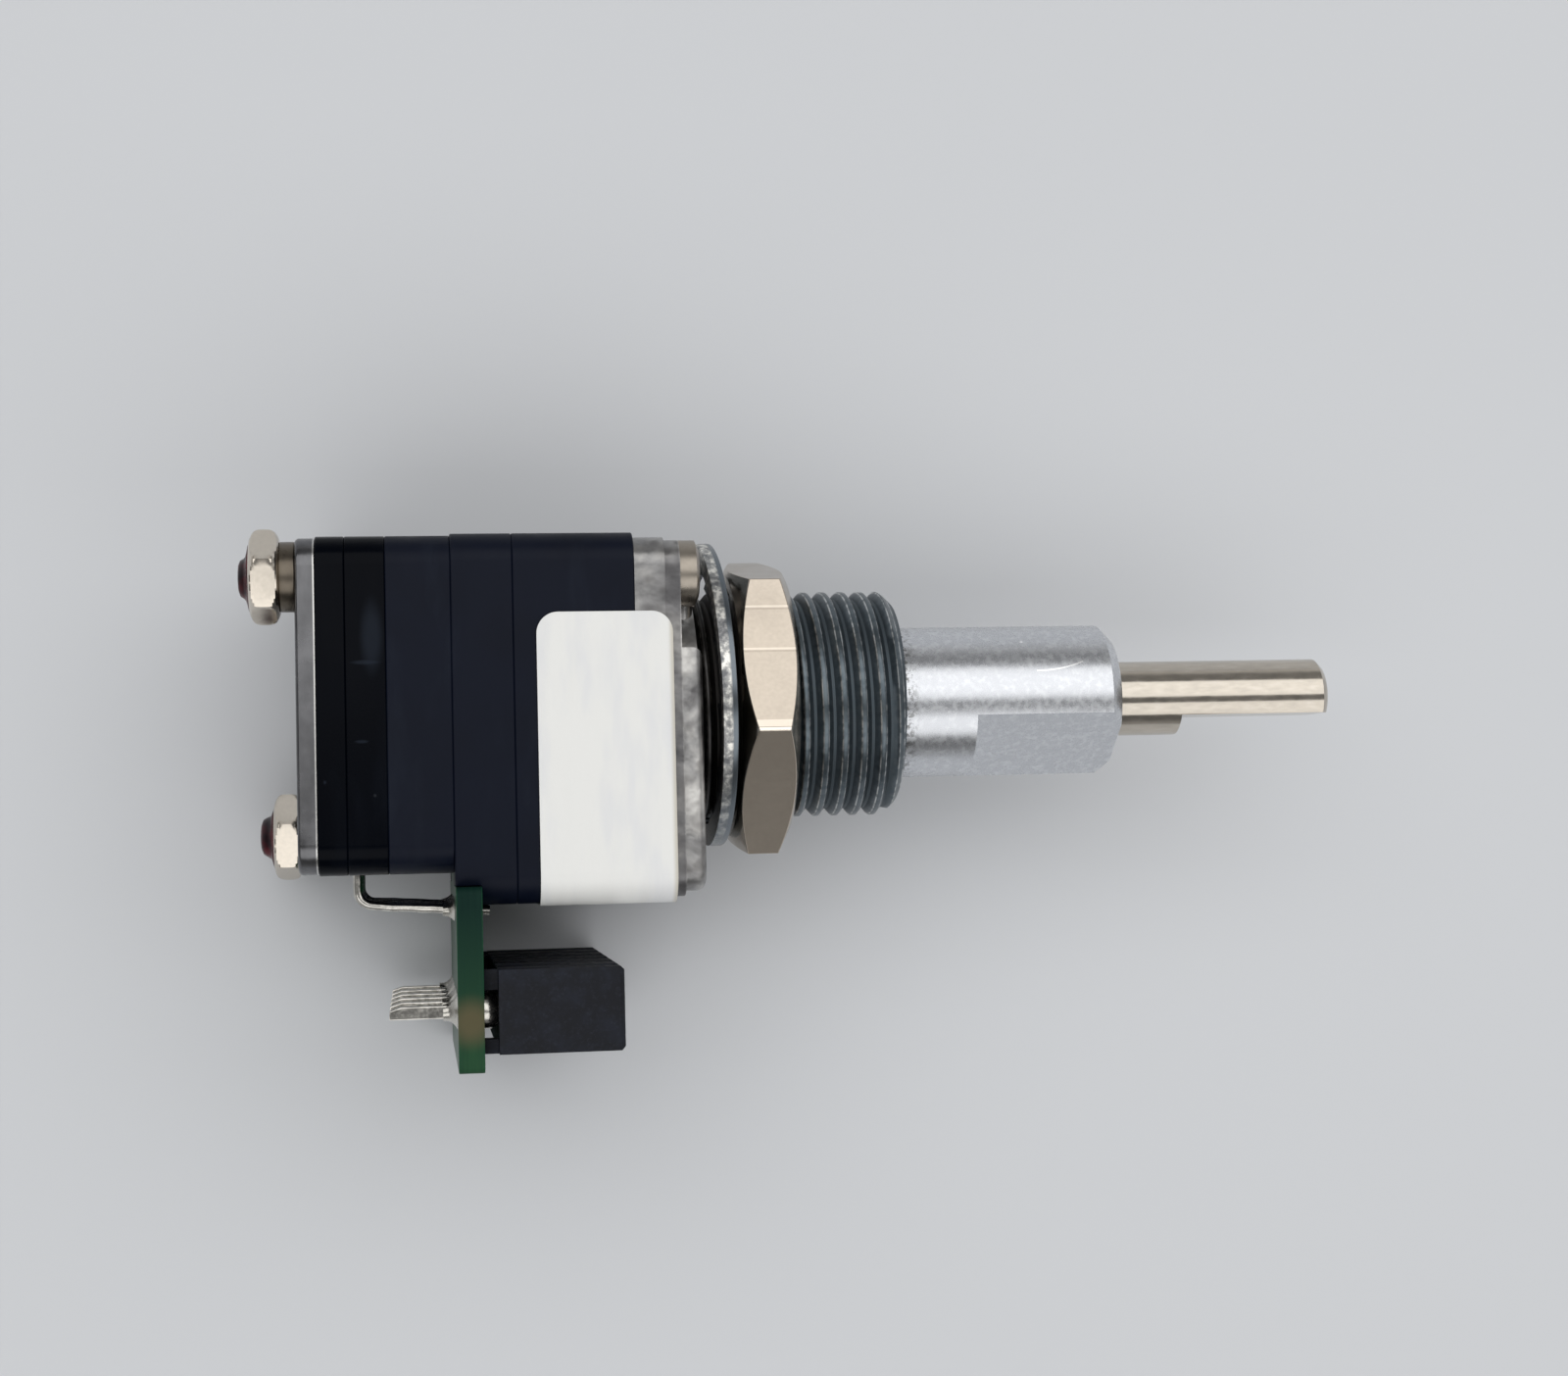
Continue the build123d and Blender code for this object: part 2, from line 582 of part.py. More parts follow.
def header_pin(z):
    """A square tail with a pointed end, and the sprung box that takes a mating pin."""
    box_half = socket_size / 2 - socket_wall_gap
    box_rear = connector_front - socket_depth + socket_wall_gap
    tail_end = board_rear - pin_tail
    half = pin_size / 2
    tail = block(tail_end, box_rear + 0.3, pin_height - half, pin_height + half, z - half, z + half)
    wedge = make_face(Polyline((tail_end - 0.01, half), (tail_end + pin_taper, half),
                               (tail_end - 0.01, 0.4 * half), close=True))
    wedge = Pos(0, 0, z - half - 1) * extrude(Pos(0, pin_height) * wedge, amount=pin_size + 2)
    tail -= wedge
    box = block(box_rear, connector_front - contact_recess, pin_height - box_half,
                pin_height + box_half, z - box_half, z + box_half)
    bore = contact_bore / 2
    box -= block(box_rear + 0.3, connector_front, pin_height - bore, pin_height + bore, z - bore, z + bore)
    return tail + box


header_pins = [header_pin(z) for z in pin_rows]

solder_joints = []
pin_core = pin_size / 2
for z in pin_rows:
    core = block(board_rear - 3, connector_rear, pin_height - pin_core, pin_height + pin_core,
                 z - pin_core, z + pin_core)
    top = pin_size / sqrt(2) + solder_skin
    solder_joints.append(solder_cone(board_rear, -solder_pin_height, solder_pin_radius, top,
                                     pin_height, z, core))
    solder_joints.append(solder_cone(board_front, solder_pin_height - 0.1, solder_pin_radius, top,
                                     pin_height, z, core))
for z, lead in zip(lead_rows, rear_sensor_leads):
    top = lead_size / sqrt(2) + solder_skin
    solder_joints.append(solder_cone(board_rear, -solder_lead_height, solder_lead_radius, top,
                                     lead_height(board_rear), z, lead))

# --- screws that hold the stack ---------------------------------------------------------------
def stack_screw(y, z):
    head_top = -screw_head_drop
    head = spun([(flange_front, 0), (flange_front, screw_head_radius),
                 (head_top - 0.15, screw_head_radius), (head_top, screw_head_radius - 0.3),
                 (head_top, 0)])
    head -= block(head_top - screw_slot_depth, head_top + 1, -2 * screw_head_radius,
                  2 * screw_head_radius, -screw_slot_width / 2, screw_slot_width / 2)
    shank = spun([(screw_tip, 0), (screw_tip, screw_radius - 0.2), (screw_tip + 0.2, screw_radius),
                  (flange_front, screw_radius), (flange_front, 0)])
    return Pos(0, y, z) * (head + shank)


stack_screws = [stack_screw(y, z) for y, z in screw_axes]
nut_seats = [plate_rear - spacer_length, plate_rear - stack_washer_thickness]
stack_nuts = []
lacquer_dabs = []
for (y, z), seat, skin, screw in zip(screw_axes, nut_seats, lacquer_skins, stack_screws):
    nut = hexagon_nut(stack_nut_flats, stack_nut_thickness, screw_radius + press_gap,
                      stack_nut_chamfer_angle, stack_nut_turn + 30)
    nut &= rod(stack_nut_corner, -1, stack_nut_thickness + 1)
    nut = Pos(seat - stack_nut_thickness, y, z) * nut
    stack_nuts.append(nut)
    foot = seat - stack_nut_thickness
    crown = screw_tip - skin
    shoulder = screw_tip + 0.15
    dab = extrude(many_sided(lacquer_film_radius, foot, y, z, -1, 12), amount=lacquer_film)
    dab += extrude(many_sided(lacquer_radius, foot, y, z, -1, 12), amount=foot - shoulder)
    dab += extrude(many_sided(lacquer_radius, shoulder, y, z, -1, 12), amount=shoulder - crown, taper=30)
    lacquer_dabs.append(dab - screw - nut)
y, z = screw_axes[0]
stack_spacer = rod(spacer_radius, plate_rear - spacer_length, plate_rear, y, z)
stack_spacer -= rod(screw_radius + press_gap, plate_rear - 2, plate_rear + 1, y, z)
y, z = screw_axes[1]
stack_washer = rod(stack_washer_radius, plate_rear - stack_washer_thickness, plate_rear, y, z)
stack_washer -= rod(screw_radius + press_gap, plate_rear - 2, plate_rear + 1, y, z)
stack_washer -= block(plate_rear - 2, plate_rear + 1, y, y + 2 * stack_washer_radius,
                      z - stack_washer_slit / 2, z + stack_washer_slit / 2)

# --- label ------------------------------------------------------------------------------------
under = label_glue
over = label_glue + label_thickness
sheet = along_x(outline(chin - over, front_top + over, body_half + over, corner_radius + over),
                label_front - label_width, label_front)
sheet -= along_x(outline(chin - under, front_top + under, body_half + under, corner_radius + under),
                 label_front - label_width - 1, label_front + 1)
cutter_middle = (label_front - label_width / 2, label_top - 6)
rounded = Pos(*cutter_middle) * RectangleRounded(label_width, 12, label_radius)
squared = Pos(cutter_middle[0], label_top - 12) * Rectangle(label_width, 12)
label = sheet & (Pos(0, 0, label_wrap) * extrude(rounded + squared, amount=3 * body_half))

nodes = {
    "bushing_housing": bushing_housing,
    "panel_nut": panel_nut,
    "lock_washer": lock_washer,
    "outer_shaft": outer_shaft,
    "inner_shaft": inner_shaft,
    "outer_shaft_clip": outer_shaft_clip,
    "inner_shaft_clip": inner_shaft_clip,
    "outer_detent_wheel": outer_detent_wheel,
    "inner_detent_wheel": inner_detent_wheel,
    "outer_detent_spring": outer_detent_spring,
    "inner_detent_spring": inner_detent_spring,
    "outer_code_disc": outer_code_disc,
    "inner_code_disc": inner_code_disc,
    "front_housing": front_housing,
    "board_housing": board_housing,
    "middle_housing": middle_housing,
    "sensor_housing": sensor_housing,
    "rear_cap": rear_cap,
    "rear_plate": rear_plate,
    "front_sensor": front_sensor,
    "rear_sensor": rear_sensor,
    "front_sensor_leads": front_sensor_leads,
    "rear_sensor_leads": rear_sensor_leads,
    "circuit_board": circuit_board,
    "connector_housing": connector_housing,
    "header_pins": header_pins,
    "solder_joints": solder_joints,
    "stack_screws": stack_screws,
    "stack_nuts": stack_nuts,
    "stack_spacer": stack_spacer,
    "stack_washer": stack_washer,
    "lacquer_dabs": lacquer_dabs,
    "label": label,
}

for name, shape in nodes.items():
    solids = shape if isinstance(shape, list) else [shape]
    export_step(Compound(children=[s for piece in solids for s in piece.solids()]),
                f"parts/{name}.step")
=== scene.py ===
"""Looks of a concentric rotary encoder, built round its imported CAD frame.

The frame gives every piece its place: +X runs along the shafts toward their tips, +Z is up and
the circuit board hangs on the -Y side. Lengths in this file are millimetres until they become
vertices, which are metres.
"""
import logging
from dataclasses import dataclass, field
from enum import Enum
from math import atan2, cos, pi, radians, sin, tan, tau
from typing import Any, Callable, Iterable

import bmesh
import bpy
from mathutils import Matrix, Vector, noise


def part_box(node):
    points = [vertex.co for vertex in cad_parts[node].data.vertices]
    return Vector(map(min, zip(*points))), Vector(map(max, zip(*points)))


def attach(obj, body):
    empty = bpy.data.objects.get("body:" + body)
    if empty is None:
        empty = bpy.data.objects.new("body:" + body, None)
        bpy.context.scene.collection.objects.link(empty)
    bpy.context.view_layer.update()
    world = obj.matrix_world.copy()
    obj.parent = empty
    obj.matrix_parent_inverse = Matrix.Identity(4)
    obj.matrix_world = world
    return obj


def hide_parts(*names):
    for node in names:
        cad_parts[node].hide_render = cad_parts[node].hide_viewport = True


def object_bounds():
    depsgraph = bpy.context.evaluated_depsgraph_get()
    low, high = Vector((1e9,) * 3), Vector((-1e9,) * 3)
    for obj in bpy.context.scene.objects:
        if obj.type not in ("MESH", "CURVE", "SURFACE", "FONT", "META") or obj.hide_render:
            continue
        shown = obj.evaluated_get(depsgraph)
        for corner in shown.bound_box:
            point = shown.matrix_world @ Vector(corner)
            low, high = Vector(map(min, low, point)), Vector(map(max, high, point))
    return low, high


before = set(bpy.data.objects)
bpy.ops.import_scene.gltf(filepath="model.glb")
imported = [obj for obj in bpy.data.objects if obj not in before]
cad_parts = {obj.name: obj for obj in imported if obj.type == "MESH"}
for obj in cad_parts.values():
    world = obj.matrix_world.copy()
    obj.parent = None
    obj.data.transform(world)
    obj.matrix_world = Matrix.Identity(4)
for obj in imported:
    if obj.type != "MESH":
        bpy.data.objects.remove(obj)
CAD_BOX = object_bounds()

log = logging.getLogger("encoder")

MM = 0.001
JOIN = 0.002  # Vertices nearer to each other than this many millimetres are one.
FLAT = 0.6  # Faces that meet at less than this many degrees are one flat face.
X_AXIS = Vector((1, 0, 0))
EASED = {"interpolation_type": "SMOOTHSTEP"}
COLOURS = {"data_type": "RGBA"}
Point = tuple[float, float]
Colour = tuple[float, float, float, float]
Socket = bpy.types.NodeSocket


class Body(Enum):
    """The three bodies that turn against each other."""

    HOUSING = "housing"
    OUTER = "outer_rotor"
    INNER = "inner_rotor"


class Slot(Enum):
    """The record's material slots."""

    ZINC = "zinc_casting"
    NICKEL = "nickel_plate"
    SPRING = "spring_steel"
    STAMPED = "stamped_steel"
    ALUMINIUM = "satin_aluminium"
    STAINLESS = "stainless_steel"
    MOULDING = "black_moulding"
    CONNECTOR = "connector_plastic"
    ACETAL = "acetal"
    DISC = "disc_steel"
    EPOXY = "sensor_epoxy"
    TINNED = "tinned_copper"
    SOLDER = "solder"
    BOARD = "circuit_board"
    LACQUER = "red_lacquer"
    LABEL = "label_film"


class Drop(Enum):
    """What a cut square to the shafts takes away."""

    BEHIND = "clear_inner"
    AHEAD = "clear_outer"


# --- colour and nodes -------------------------------------------------------------------------


def linear(code: str) -> Colour:
    """Turn an sRGB hex colour to linear light.

    Args:
        code: Six hex digits, such as "8E8F8D".

    Returns:
        Red, green, blue and an alpha of 1.
    """
    parts = [int(code[i:i + 2], 16) / 255 for i in (0, 2, 4)]
    curve = [p / 12.92 if p <= 0.04045 else ((p + 0.055) / 1.055) ** 2.4 for p in parts]
    return (curve[0], curve[1], curve[2], 1.0)


def per_mm(size: float) -> float:
    """Texture scale at which a pattern repeats every size millimetres."""
    return 1 / (size * MM)


def add(tree: bpy.types.NodeTree, kind: str, sockets: dict[int | str, Any] | None = None,
        out: int | str = 0, stops: Iterable[tuple[float, float | Colour]] = (),
        **settings: Any) -> Socket:
    """Add a shader node with its settings and links.

    Args:
        tree: The node tree that gets it.
        kind: The node's type without the leading ShaderNode.
        sockets: By input name or number, a value to set or another node's output to link.
        out: Name or number of the output wanted.
        stops: Place and colour or grey of each stop of a colour ramp.
        settings: The node's own properties.

    Returns:
        The wanted output socket.
    """
    made = tree.nodes.new("ShaderNode" + kind)
    for name, value in settings.items():
        setattr(made, name, value)
    for key, value in (sockets or {}).items():
        if isinstance(value, Socket):
            tree.links.new(value, made.inputs[key])
        else:
            made.inputs[key].default_value = value
    for i, (place, shade) in enumerate(stops):
        ramp = made.color_ramp.elements
        stop = ramp[i] if i < 2 else ramp.new(place)
        stop.position = place
        stop.color = shade if isinstance(shade, tuple) else (shade, shade, shade, 1.0)
    return made.outputs[out]


# --- finishes ---------------------------------------------------------------------------------

MADE: dict[str, bpy.types.Material] = {}


@dataclass
class Surface:
    """What a pattern gives the shader.

    The colour may have layers laid over it in turn, each a share and a colour. The roughness is
    a value, the range in which it is read and the roughness at both ends of that range. The
    height has a depth in millimetres.
    """

    colour: Socket | Colour
    roughness: tuple[Socket, float, float, float, float]
    height: Socket
    depth: float
    over: list[tuple[Socket, Socket | Colour]] = field(default_factory=list)


@dataclass(frozen=True)
class Finish:
    """A material: its common name, slot, main colour and how it takes light.

    The plain one serves pieces shut inside the body: even, with a faint cloudiness.
    """

    name: str
    slot: Slot
    colour: str
    metallic: float = 0.0
    roughness: float = 0.5
    ior: float = 1.5
    specular: float = 0.5
    coat: float = 0.0

    def pattern(self, tree: bpy.types.NodeTree, place: Socket) -> Surface:
        """Draw the surface.

        Args:
            tree: The material's node tree.
            place: The piece's own coordinates, in metres.

        Returns:
            What changes over the surface.
        """
        cloud = add(tree, "TexNoise", {"Vector": place, "Scale": per_mm(0.8), "Detail": 3.0})
        rough = (cloud, 0.3, 0.7, self.roughness - 0.05, self.roughness + 0.05)
        return Surface(linear(self.colour), rough, cloud, 0.004, [(cloud, self.darker(0.8))])

    def darker(self, share: float) -> Colour:
        """The main colour at a share of its light."""
        red, green, blue, _ = linear(self.colour)
        return (red * share, green * share, blue * share, 1.0)

    def material(self) -> bpy.types.Material:
        """Build the material once.

        Returns:
            The material, the same one at every call.
        """
        if self.name in MADE:
            return MADE[self.name]
        made = MADE[self.name] = bpy.data.materials.new(self.name)
        made.use_nodes = True
        tree = made.node_tree
        shader = tree.nodes["Principled BSDF"]
        even = {"Base Color": linear(self.colour), "Metallic": self.metallic,
                "Roughness": self.roughness, "Specular IOR Level": self.specular}
        if not self.metallic:
            even["IOR"] = self.ior
        if self.coat:
            even |= {"Coat Weight": self.coat, "Coat Roughness": 0.1}
        for name, value in even.items():
            shader.inputs[name].default_value = value
        look = self.pattern(tree, add(tree, "TexCoord", out="Object"))
        colour = look.colour
        for share, shade in look.over:
            colour = add(tree, "Mix", {0: share, 6: colour, 7: shade}, 2, **COLOURS)
        rough = add(tree, "MapRange", dict(enumerate(look.roughness)))
        normal = add(tree, "Bump", {"Distance": look.depth * MM, "Height": look.height})
        for name, source in (("Base Color", colour), ("Roughness", rough), ("Normal", normal)):
            tree.links.new(source, shader.inputs[name])
        return made


@dataclass(frozen=True)
class GlassFilledNylon(Finish):
    """Black glass-filled nylon, injection moulded: deep and dull, faintly cloudy, with smears
    and a few pale specks where fibre ends and handling show."""

    rub: float = 1.0
    wear: str = "181E2A"
    top: float = 6.62
    scuffs: tuple[tuple[float, float, float, float], ...] = ()

    def pattern(self, tree: bpy.types.NodeTree, place: Socket) -> Surface:
        """Clouds, smears drawn out along the height of the wall and scattered specks.

        Args:
            tree: The material's node tree.
            place: The piece's own coordinates, in metres.

        Returns:
            Black skin with its smears, specks and scuffs.
        """
        along = add(tree, "Mapping", {"Vector": place, "Scale": (1.0, 0.22, 1.0)})
        smear = add(tree, "TexNoise", {"Vector": along, "Scale": per_mm(1.6), "Detail": 4.0,
                                       "Roughness": 0.6, "Distortion": 0.4})
        cloud = add(tree, "TexNoise", {"Vector": place, "Scale": per_mm(3.4), "Detail": 3.0})
        # Fibre ends are 0.01 mm across; 0.09 mm is the finest grain that still shows.
        fibres = add(tree, "TexNoise", {"Vector": place, "Scale": per_mm(0.09), "Detail": 2.0,
                                        "Roughness": 0.7})
        near = add(tree, "TexVoronoi", {"Vector": place, "Scale": per_mm(2.1)})
        speck = add(tree, "MapRange", {"Value": near, 1: 0.02, 2: 0.05, 3: 0.3, 4: 0.0})
        worn = add(tree, "MapRange", {"Value": smear, 1: 0.50, 2: 0.78, 3: 0.0,
                                      4: 0.6 * self.rub}, **EASED)
        shade = add(tree, "MapRange", {"Value": cloud, 1: 0.35, 2: 0.75, 3: 0.0, 4: 0.45},
                    **EASED)
        over = [(worn, linear(self.wear)), (shade, self.darker(0.6)), (speck, linear("5A5D64"))]
        for x, y, long, wide in self.scuffs:
            off = add(tree, "VectorMath", {0: place, 1: (x * MM, y * MM, self.top * MM)},
                      operation="SUBTRACT")
            sized = add(tree, "VectorMath", {0: off, 1: (per_mm(long), per_mm(wide), per_mm(0.3))},
                        operation="MULTIPLY")
            far = add(tree, "VectorMath", {0: sized}, "Value", operation="LENGTH")
            mark = add(tree, "MapRange", {"Value": far, 1: 0.3, 2: 1.0, 3: 0.45, 4: 0.0}, **EASED)
            over.append((mark, linear("252B35")))
        rough = (smear, 0.35, 0.75, self.roughness - 0.06, self.roughness + 0.08)
        height = add(tree, "Mix", {0: 0.3, 2: cloud, 3: fibres})
        return Surface(linear(self.colour), rough, height, 0.003, over)


@dataclass(frozen=True)
class DieCastZinc(Finish):
    """Zinc as it left the die: bright chilled skin with soft grey patches and low pebbles, and
    painted shade on the lower strip between the flange's lip and its front."""

    lip: float = -1.45
    front: float = -0.90

    def pattern(self, tree: bpy.types.NodeTree, place: Socket) -> Surface:
        """Patches a millimetre across over a pebbled skin, dull where the oxide sits.

        Args:
            tree: The material's node tree.
            place: The piece's own coordinates, in metres.

        Returns:
            Patchy metal over low pebbles.
        """
        flow = add(tree, "TexNoise", {"Vector": place, "Scale": per_mm(1.5), "Detail": 4.0,
                                      "Roughness": 0.5, "Distortion": 0.3})
        patch = add(tree, "TexNoise", {"Vector": place, "Scale": per_mm(0.7), "Detail": 2.0,
                                       "Roughness": 0.4})
        colour = add(tree, "ValToRGB", {"Fac": flow},
                     stops=((0.34, linear("6F6E6E")), (0.48, linear(self.colour)),
                            (0.58, linear("BDBBB8")), (0.70, linear("D8D6D2"))))
        dull = add(tree, "MapRange", {"Value": patch, 1: 0.50, 2: 0.70, 3: 0.0, 4: 0.45}, **EASED)
        x = add(tree, "SeparateXYZ", {0: place}, "X")
        ahead = add(tree, "MapRange", {"Value": x, 1: (self.lip - 0.06) * MM, 2: self.lip * MM,
                                       3: 0.0, 4: 1.0})
        below = add(tree, "MapRange", {"Value": x, 1: self.front * MM,
                                       2: (self.front + 0.06) * MM, 3: 0.6, 4: 0.0})
        # The strip between the lip and the front sits lower; it gets painted shade.
        painted_lip_shade = add(tree, "Math", {0: ahead, 1: below}, operation="MULTIPLY")
        behind = add(tree, "MapRange", {"Value": ahead, 3: 0.40, 4: 0.0})
        over = [(dull, linear("6E6B69")), (behind, linear("5B5B5C")), (painted_lip_shade, linear("504F51"))]
        height = add(tree, "Mix", {0: 0.6, 2: flow, 3: patch})
        return Surface(colour, (patch, 0.35, 0.68, 0.30, 0.50), height, 0.07, over)


@dataclass(frozen=True)
class ThreadedZinc(Finish):
    """Chased zinc thread: dark blue-grey flanks, painted highlights along both crest corners,
    painted shade towards the roots and brown dirt where the nut hides it."""

    pitch: float = 25.4 / 32
    crest_half: float = 0.157
    dirty_to: float = 1.9

    def pattern(self, tree: bpy.types.NodeTree, place: Socket) -> Surface:
        """Follow the helix: the share of a pitch that each point lies at tells crest from root.

        Args:
            tree: The material's node tree.
            place: The piece's own coordinates, in metres.

        Returns:
            Dark flanks, painted highlights at the crest corners and painted shade towards the
            roots.
        """
        x, y, z = (add(tree, "SeparateXYZ", {0: place}, axis) for axis in "XYZ")
        left = add(tree, "Math", {0: y, 1: -1.0}, operation="MULTIPLY")
        angle = add(tree, "Math", {0: left, 1: z}, operation="ARCTAN2")
        turn = add(tree, "Math", {0: angle, 1: 1 / tau}, operation="MULTIPLY")
        run = add(tree, "Math", {0: x, 1: per_mm(self.pitch)}, operation="MULTIPLY")
        helix = add(tree, "Math", {0: run, 1: turn}, operation="SUBTRACT")
        share = add(tree, "Math", {0: helix, 1: 1.0, 2: 0.0}, operation="WRAP")
        middle = add(tree, "Math", {0: share, 1: 0.5}, operation="SUBTRACT")
        off = add(tree, "Math", {0: middle}, operation="ABSOLUTE")
        patch = add(tree, "TexNoise", {"Vector": place, "Scale": per_mm(0.32), "Detail": 3.0})
        # The chaser's marks are 0.03 mm apart; 0.1 mm is the finest that still shows.
        fine = add(tree, "TexNoise", {"Vector": place, "Scale": per_mm(0.1), "Detail": 3.0})
        # Crest corners carry painted highlights; the colour darkens towards the roots as painted
        # shade.
        metal = add(tree, "ValToRGB", {"Fac": off},
                    stops=((0.0, linear(self.colour)), (self.crest_half - 0.05, linear("5E666B")),
                           (self.crest_half - 0.01, linear("E0E2E1")),
                           (self.crest_half + 0.03, linear("666E74")), (0.5, linear("50585D"))))
        worn = add(tree, "MapRange", {"Value": patch, 1: 0.40, 2: 0.60, 3: 0.75, 4: 0.0}, **EASED)
        behind = add(tree, "MapRange", {"Value": x, 1: self.dirty_to * MM,
                                        2: (self.dirty_to + 0.6) * MM, 3: 0.75, 4: 0.0})
        over = [(worn, linear("515A60")), (behind, linear("352C25"))]
        height = add(tree, "Mix", {0: 0.5, 2: fine, 3: patch})
        return Surface(metal, (off, self.crest_half, 0.4, 0.30, 0.58), height, 0.01, over)


@dataclass(frozen=True)
class BrightNickel(Finish):
    """Nickel over turned and milled brass: warm and nearly a mirror, with small flecks of
    handling wear."""

    def pattern(self, tree: bpy.types.NodeTree, place: Socket) -> Surface:
        """Slow clouds in the shine and a few flecks.

        Args:
            tree: The material's node tree.
            place: The piece's own coordinates, in metres.

        Returns:
            Warm metal with slow clouds in its shine.
        """
        cloud = add(tree, "TexNoise", {"Vector": place, "Scale": per_mm(1.4), "Detail": 3.0})
        # The brass under the plating has 0.03 mm grain, drawn five times as wide to show.
        fine = add(tree, "TexNoise", {"Vector": place, "Scale": per_mm(0.16), "Detail": 3.0})
        near = add(tree, "TexVoronoi", {"Vector": place, "Scale": per_mm(1.3)})
        fleck = add(tree, "MapRange", {"Value": near, 1: 0.02, 2: 0.06, 3: 0.5, 4: 0.0})
        grain = add(tree, "MapRange", {"Value": fine, 1: 0.35, 2: 0.65, 3: 0.0, 4: 0.4})
        over = [(grain, self.darker(0.86)), (fleck, linear("6F675F"))]
        rough = (cloud, 0.3, 0.7, self.roughness - 0.04, self.roughness + 0.07)
        return Surface(linear(self.colour), rough, cloud, 0.004, over)


@dataclass(frozen=True)
class MilledNickel(BrightNickel):
    """The panel nut's nickel, with two steps across its flats where the broach chattered, drawn
    as painted shade lines with painted highlight lips, and painted highlights along a ridge."""

    across: tuple[float, float, float] = (0.0, 0.9489, -0.3157)
    facing: tuple[float, float, float] = (0.0, 0.3157, 0.9489)
    apothem: float = 5.70
    # Place across the flat, half width, share and colour: the steps' painted shade lines and
    # painted highlight lips, then painted highlights with a thin painted shade line at the ridge.
    lines: tuple[tuple[float, float, float, str], ...] = (
        (1.98, 0.06, 0.28, "857B6F"), (2.06, 0.05, 0.35, "FFF4E4"),
        (0.13, 0.06, 0.28, "857B6F"), (0.21, 0.05, 0.35, "FFF4E4"),
        (-2.98, 0.15, 0.40, "FFF4E4"), (-3.22, 0.07, 0.75, "FFF6E8"),
        (-3.14, 0.02, 0.50, "857B6F"))

    def pattern(self, tree: bpy.types.NodeTree, place: Socket) -> Surface:
        """Bright nickel crossed by the steps, each a painted shade line with a painted highlight
        lip.

        Args:
            tree: The material's node tree.
            place: The piece's own coordinates, in metres.

        Returns:
            Bright nickel with the lines on one flat.
        """
        look = super().pattern(tree, place)
        run, out = (add(tree, "VectorMath", {0: place, 1: way}, "Value",
                        operation="DOT_PRODUCT") for way in (self.across, self.facing))
        flat = add(tree, "Math", {0: out, 1: self.apothem * MM, 2: 0.12 * MM},
                   operation="COMPARE")
        for at, half, share, code in self.lines:
            near = add(tree, "Math", {0: run, 1: at * MM, 2: half * MM}, operation="COMPARE")
            there = add(tree, "Math", {0: near, 1: flat}, operation="MULTIPLY")
            line = add(tree, "Math", {0: there, 1: share}, operation="MULTIPLY")
            look.over.append((line, linear(code)))
        return look


@dataclass(frozen=True)
class ShearedSpringSteel(Finish):
    """Hardened spring steel, blanked: smooth dark faces, a rim part burnished and part torn
    bright and rough."""

    rim: float = 6.2
    axis: tuple[float, float, float] = (0.9991, 0.0297, -0.0305)
    torn_behind: float = 0.95

    def pattern(self, tree: bpy.types.NodeTree, place: Socket) -> Surface:
        """Torn sparkle on the rear of the rim, burnished blue-grey in front of it.

        Args:
            tree: The material's node tree.
            place: The piece's own coordinates, in metres.

        Returns:
            Dark faces and a torn rim.
        """
        # A torn edge breaks in 0.05 mm facets. They are drawn six times as wide to sparkle.
        torn = add(tree, "TexNoise", {"Vector": place, "Scale": per_mm(0.32), "Detail": 3.0,
                                      "Roughness": 0.6})
        flat = add(tree, "Mapping", {"Vector": place, "Scale": (0.0, 1.0, 1.0)})
        radius = add(tree, "VectorMath", {0: flat}, "Value", operation="LENGTH")
        on_rim = add(tree, "MapRange", {"Value": radius, 1: (self.rim - 0.45) * MM,
                                        2: self.rim * MM, 3: 0.0, 4: 1.0}, **EASED)
        run = add(tree, "VectorMath", {0: place, 1: self.axis}, "Value", operation="DOT_PRODUCT")
        rear = add(tree, "MapRange", {"Value": run, 1: (self.torn_behind - 0.04) * MM,
                                      2: (self.torn_behind + 0.04) * MM, 3: 1.0, 4: 0.0})
        where = add(tree, "Math", {0: on_rim, 1: rear}, operation="MULTIPLY")
        metal = add(tree, "ValToRGB", {"Fac": torn},
                    stops=((0.36, linear("77787A")), (0.50, linear(self.colour)),
                           (0.62, linear("EFEDE6"))))
        height = add(tree, "Math", {0: torn, 1: where}, operation="MULTIPLY")
        return Surface(linear("6E757B"), (where, 0.0, 1.0, 0.24, 0.42), height, 0.025,
                       [(where, metal)])


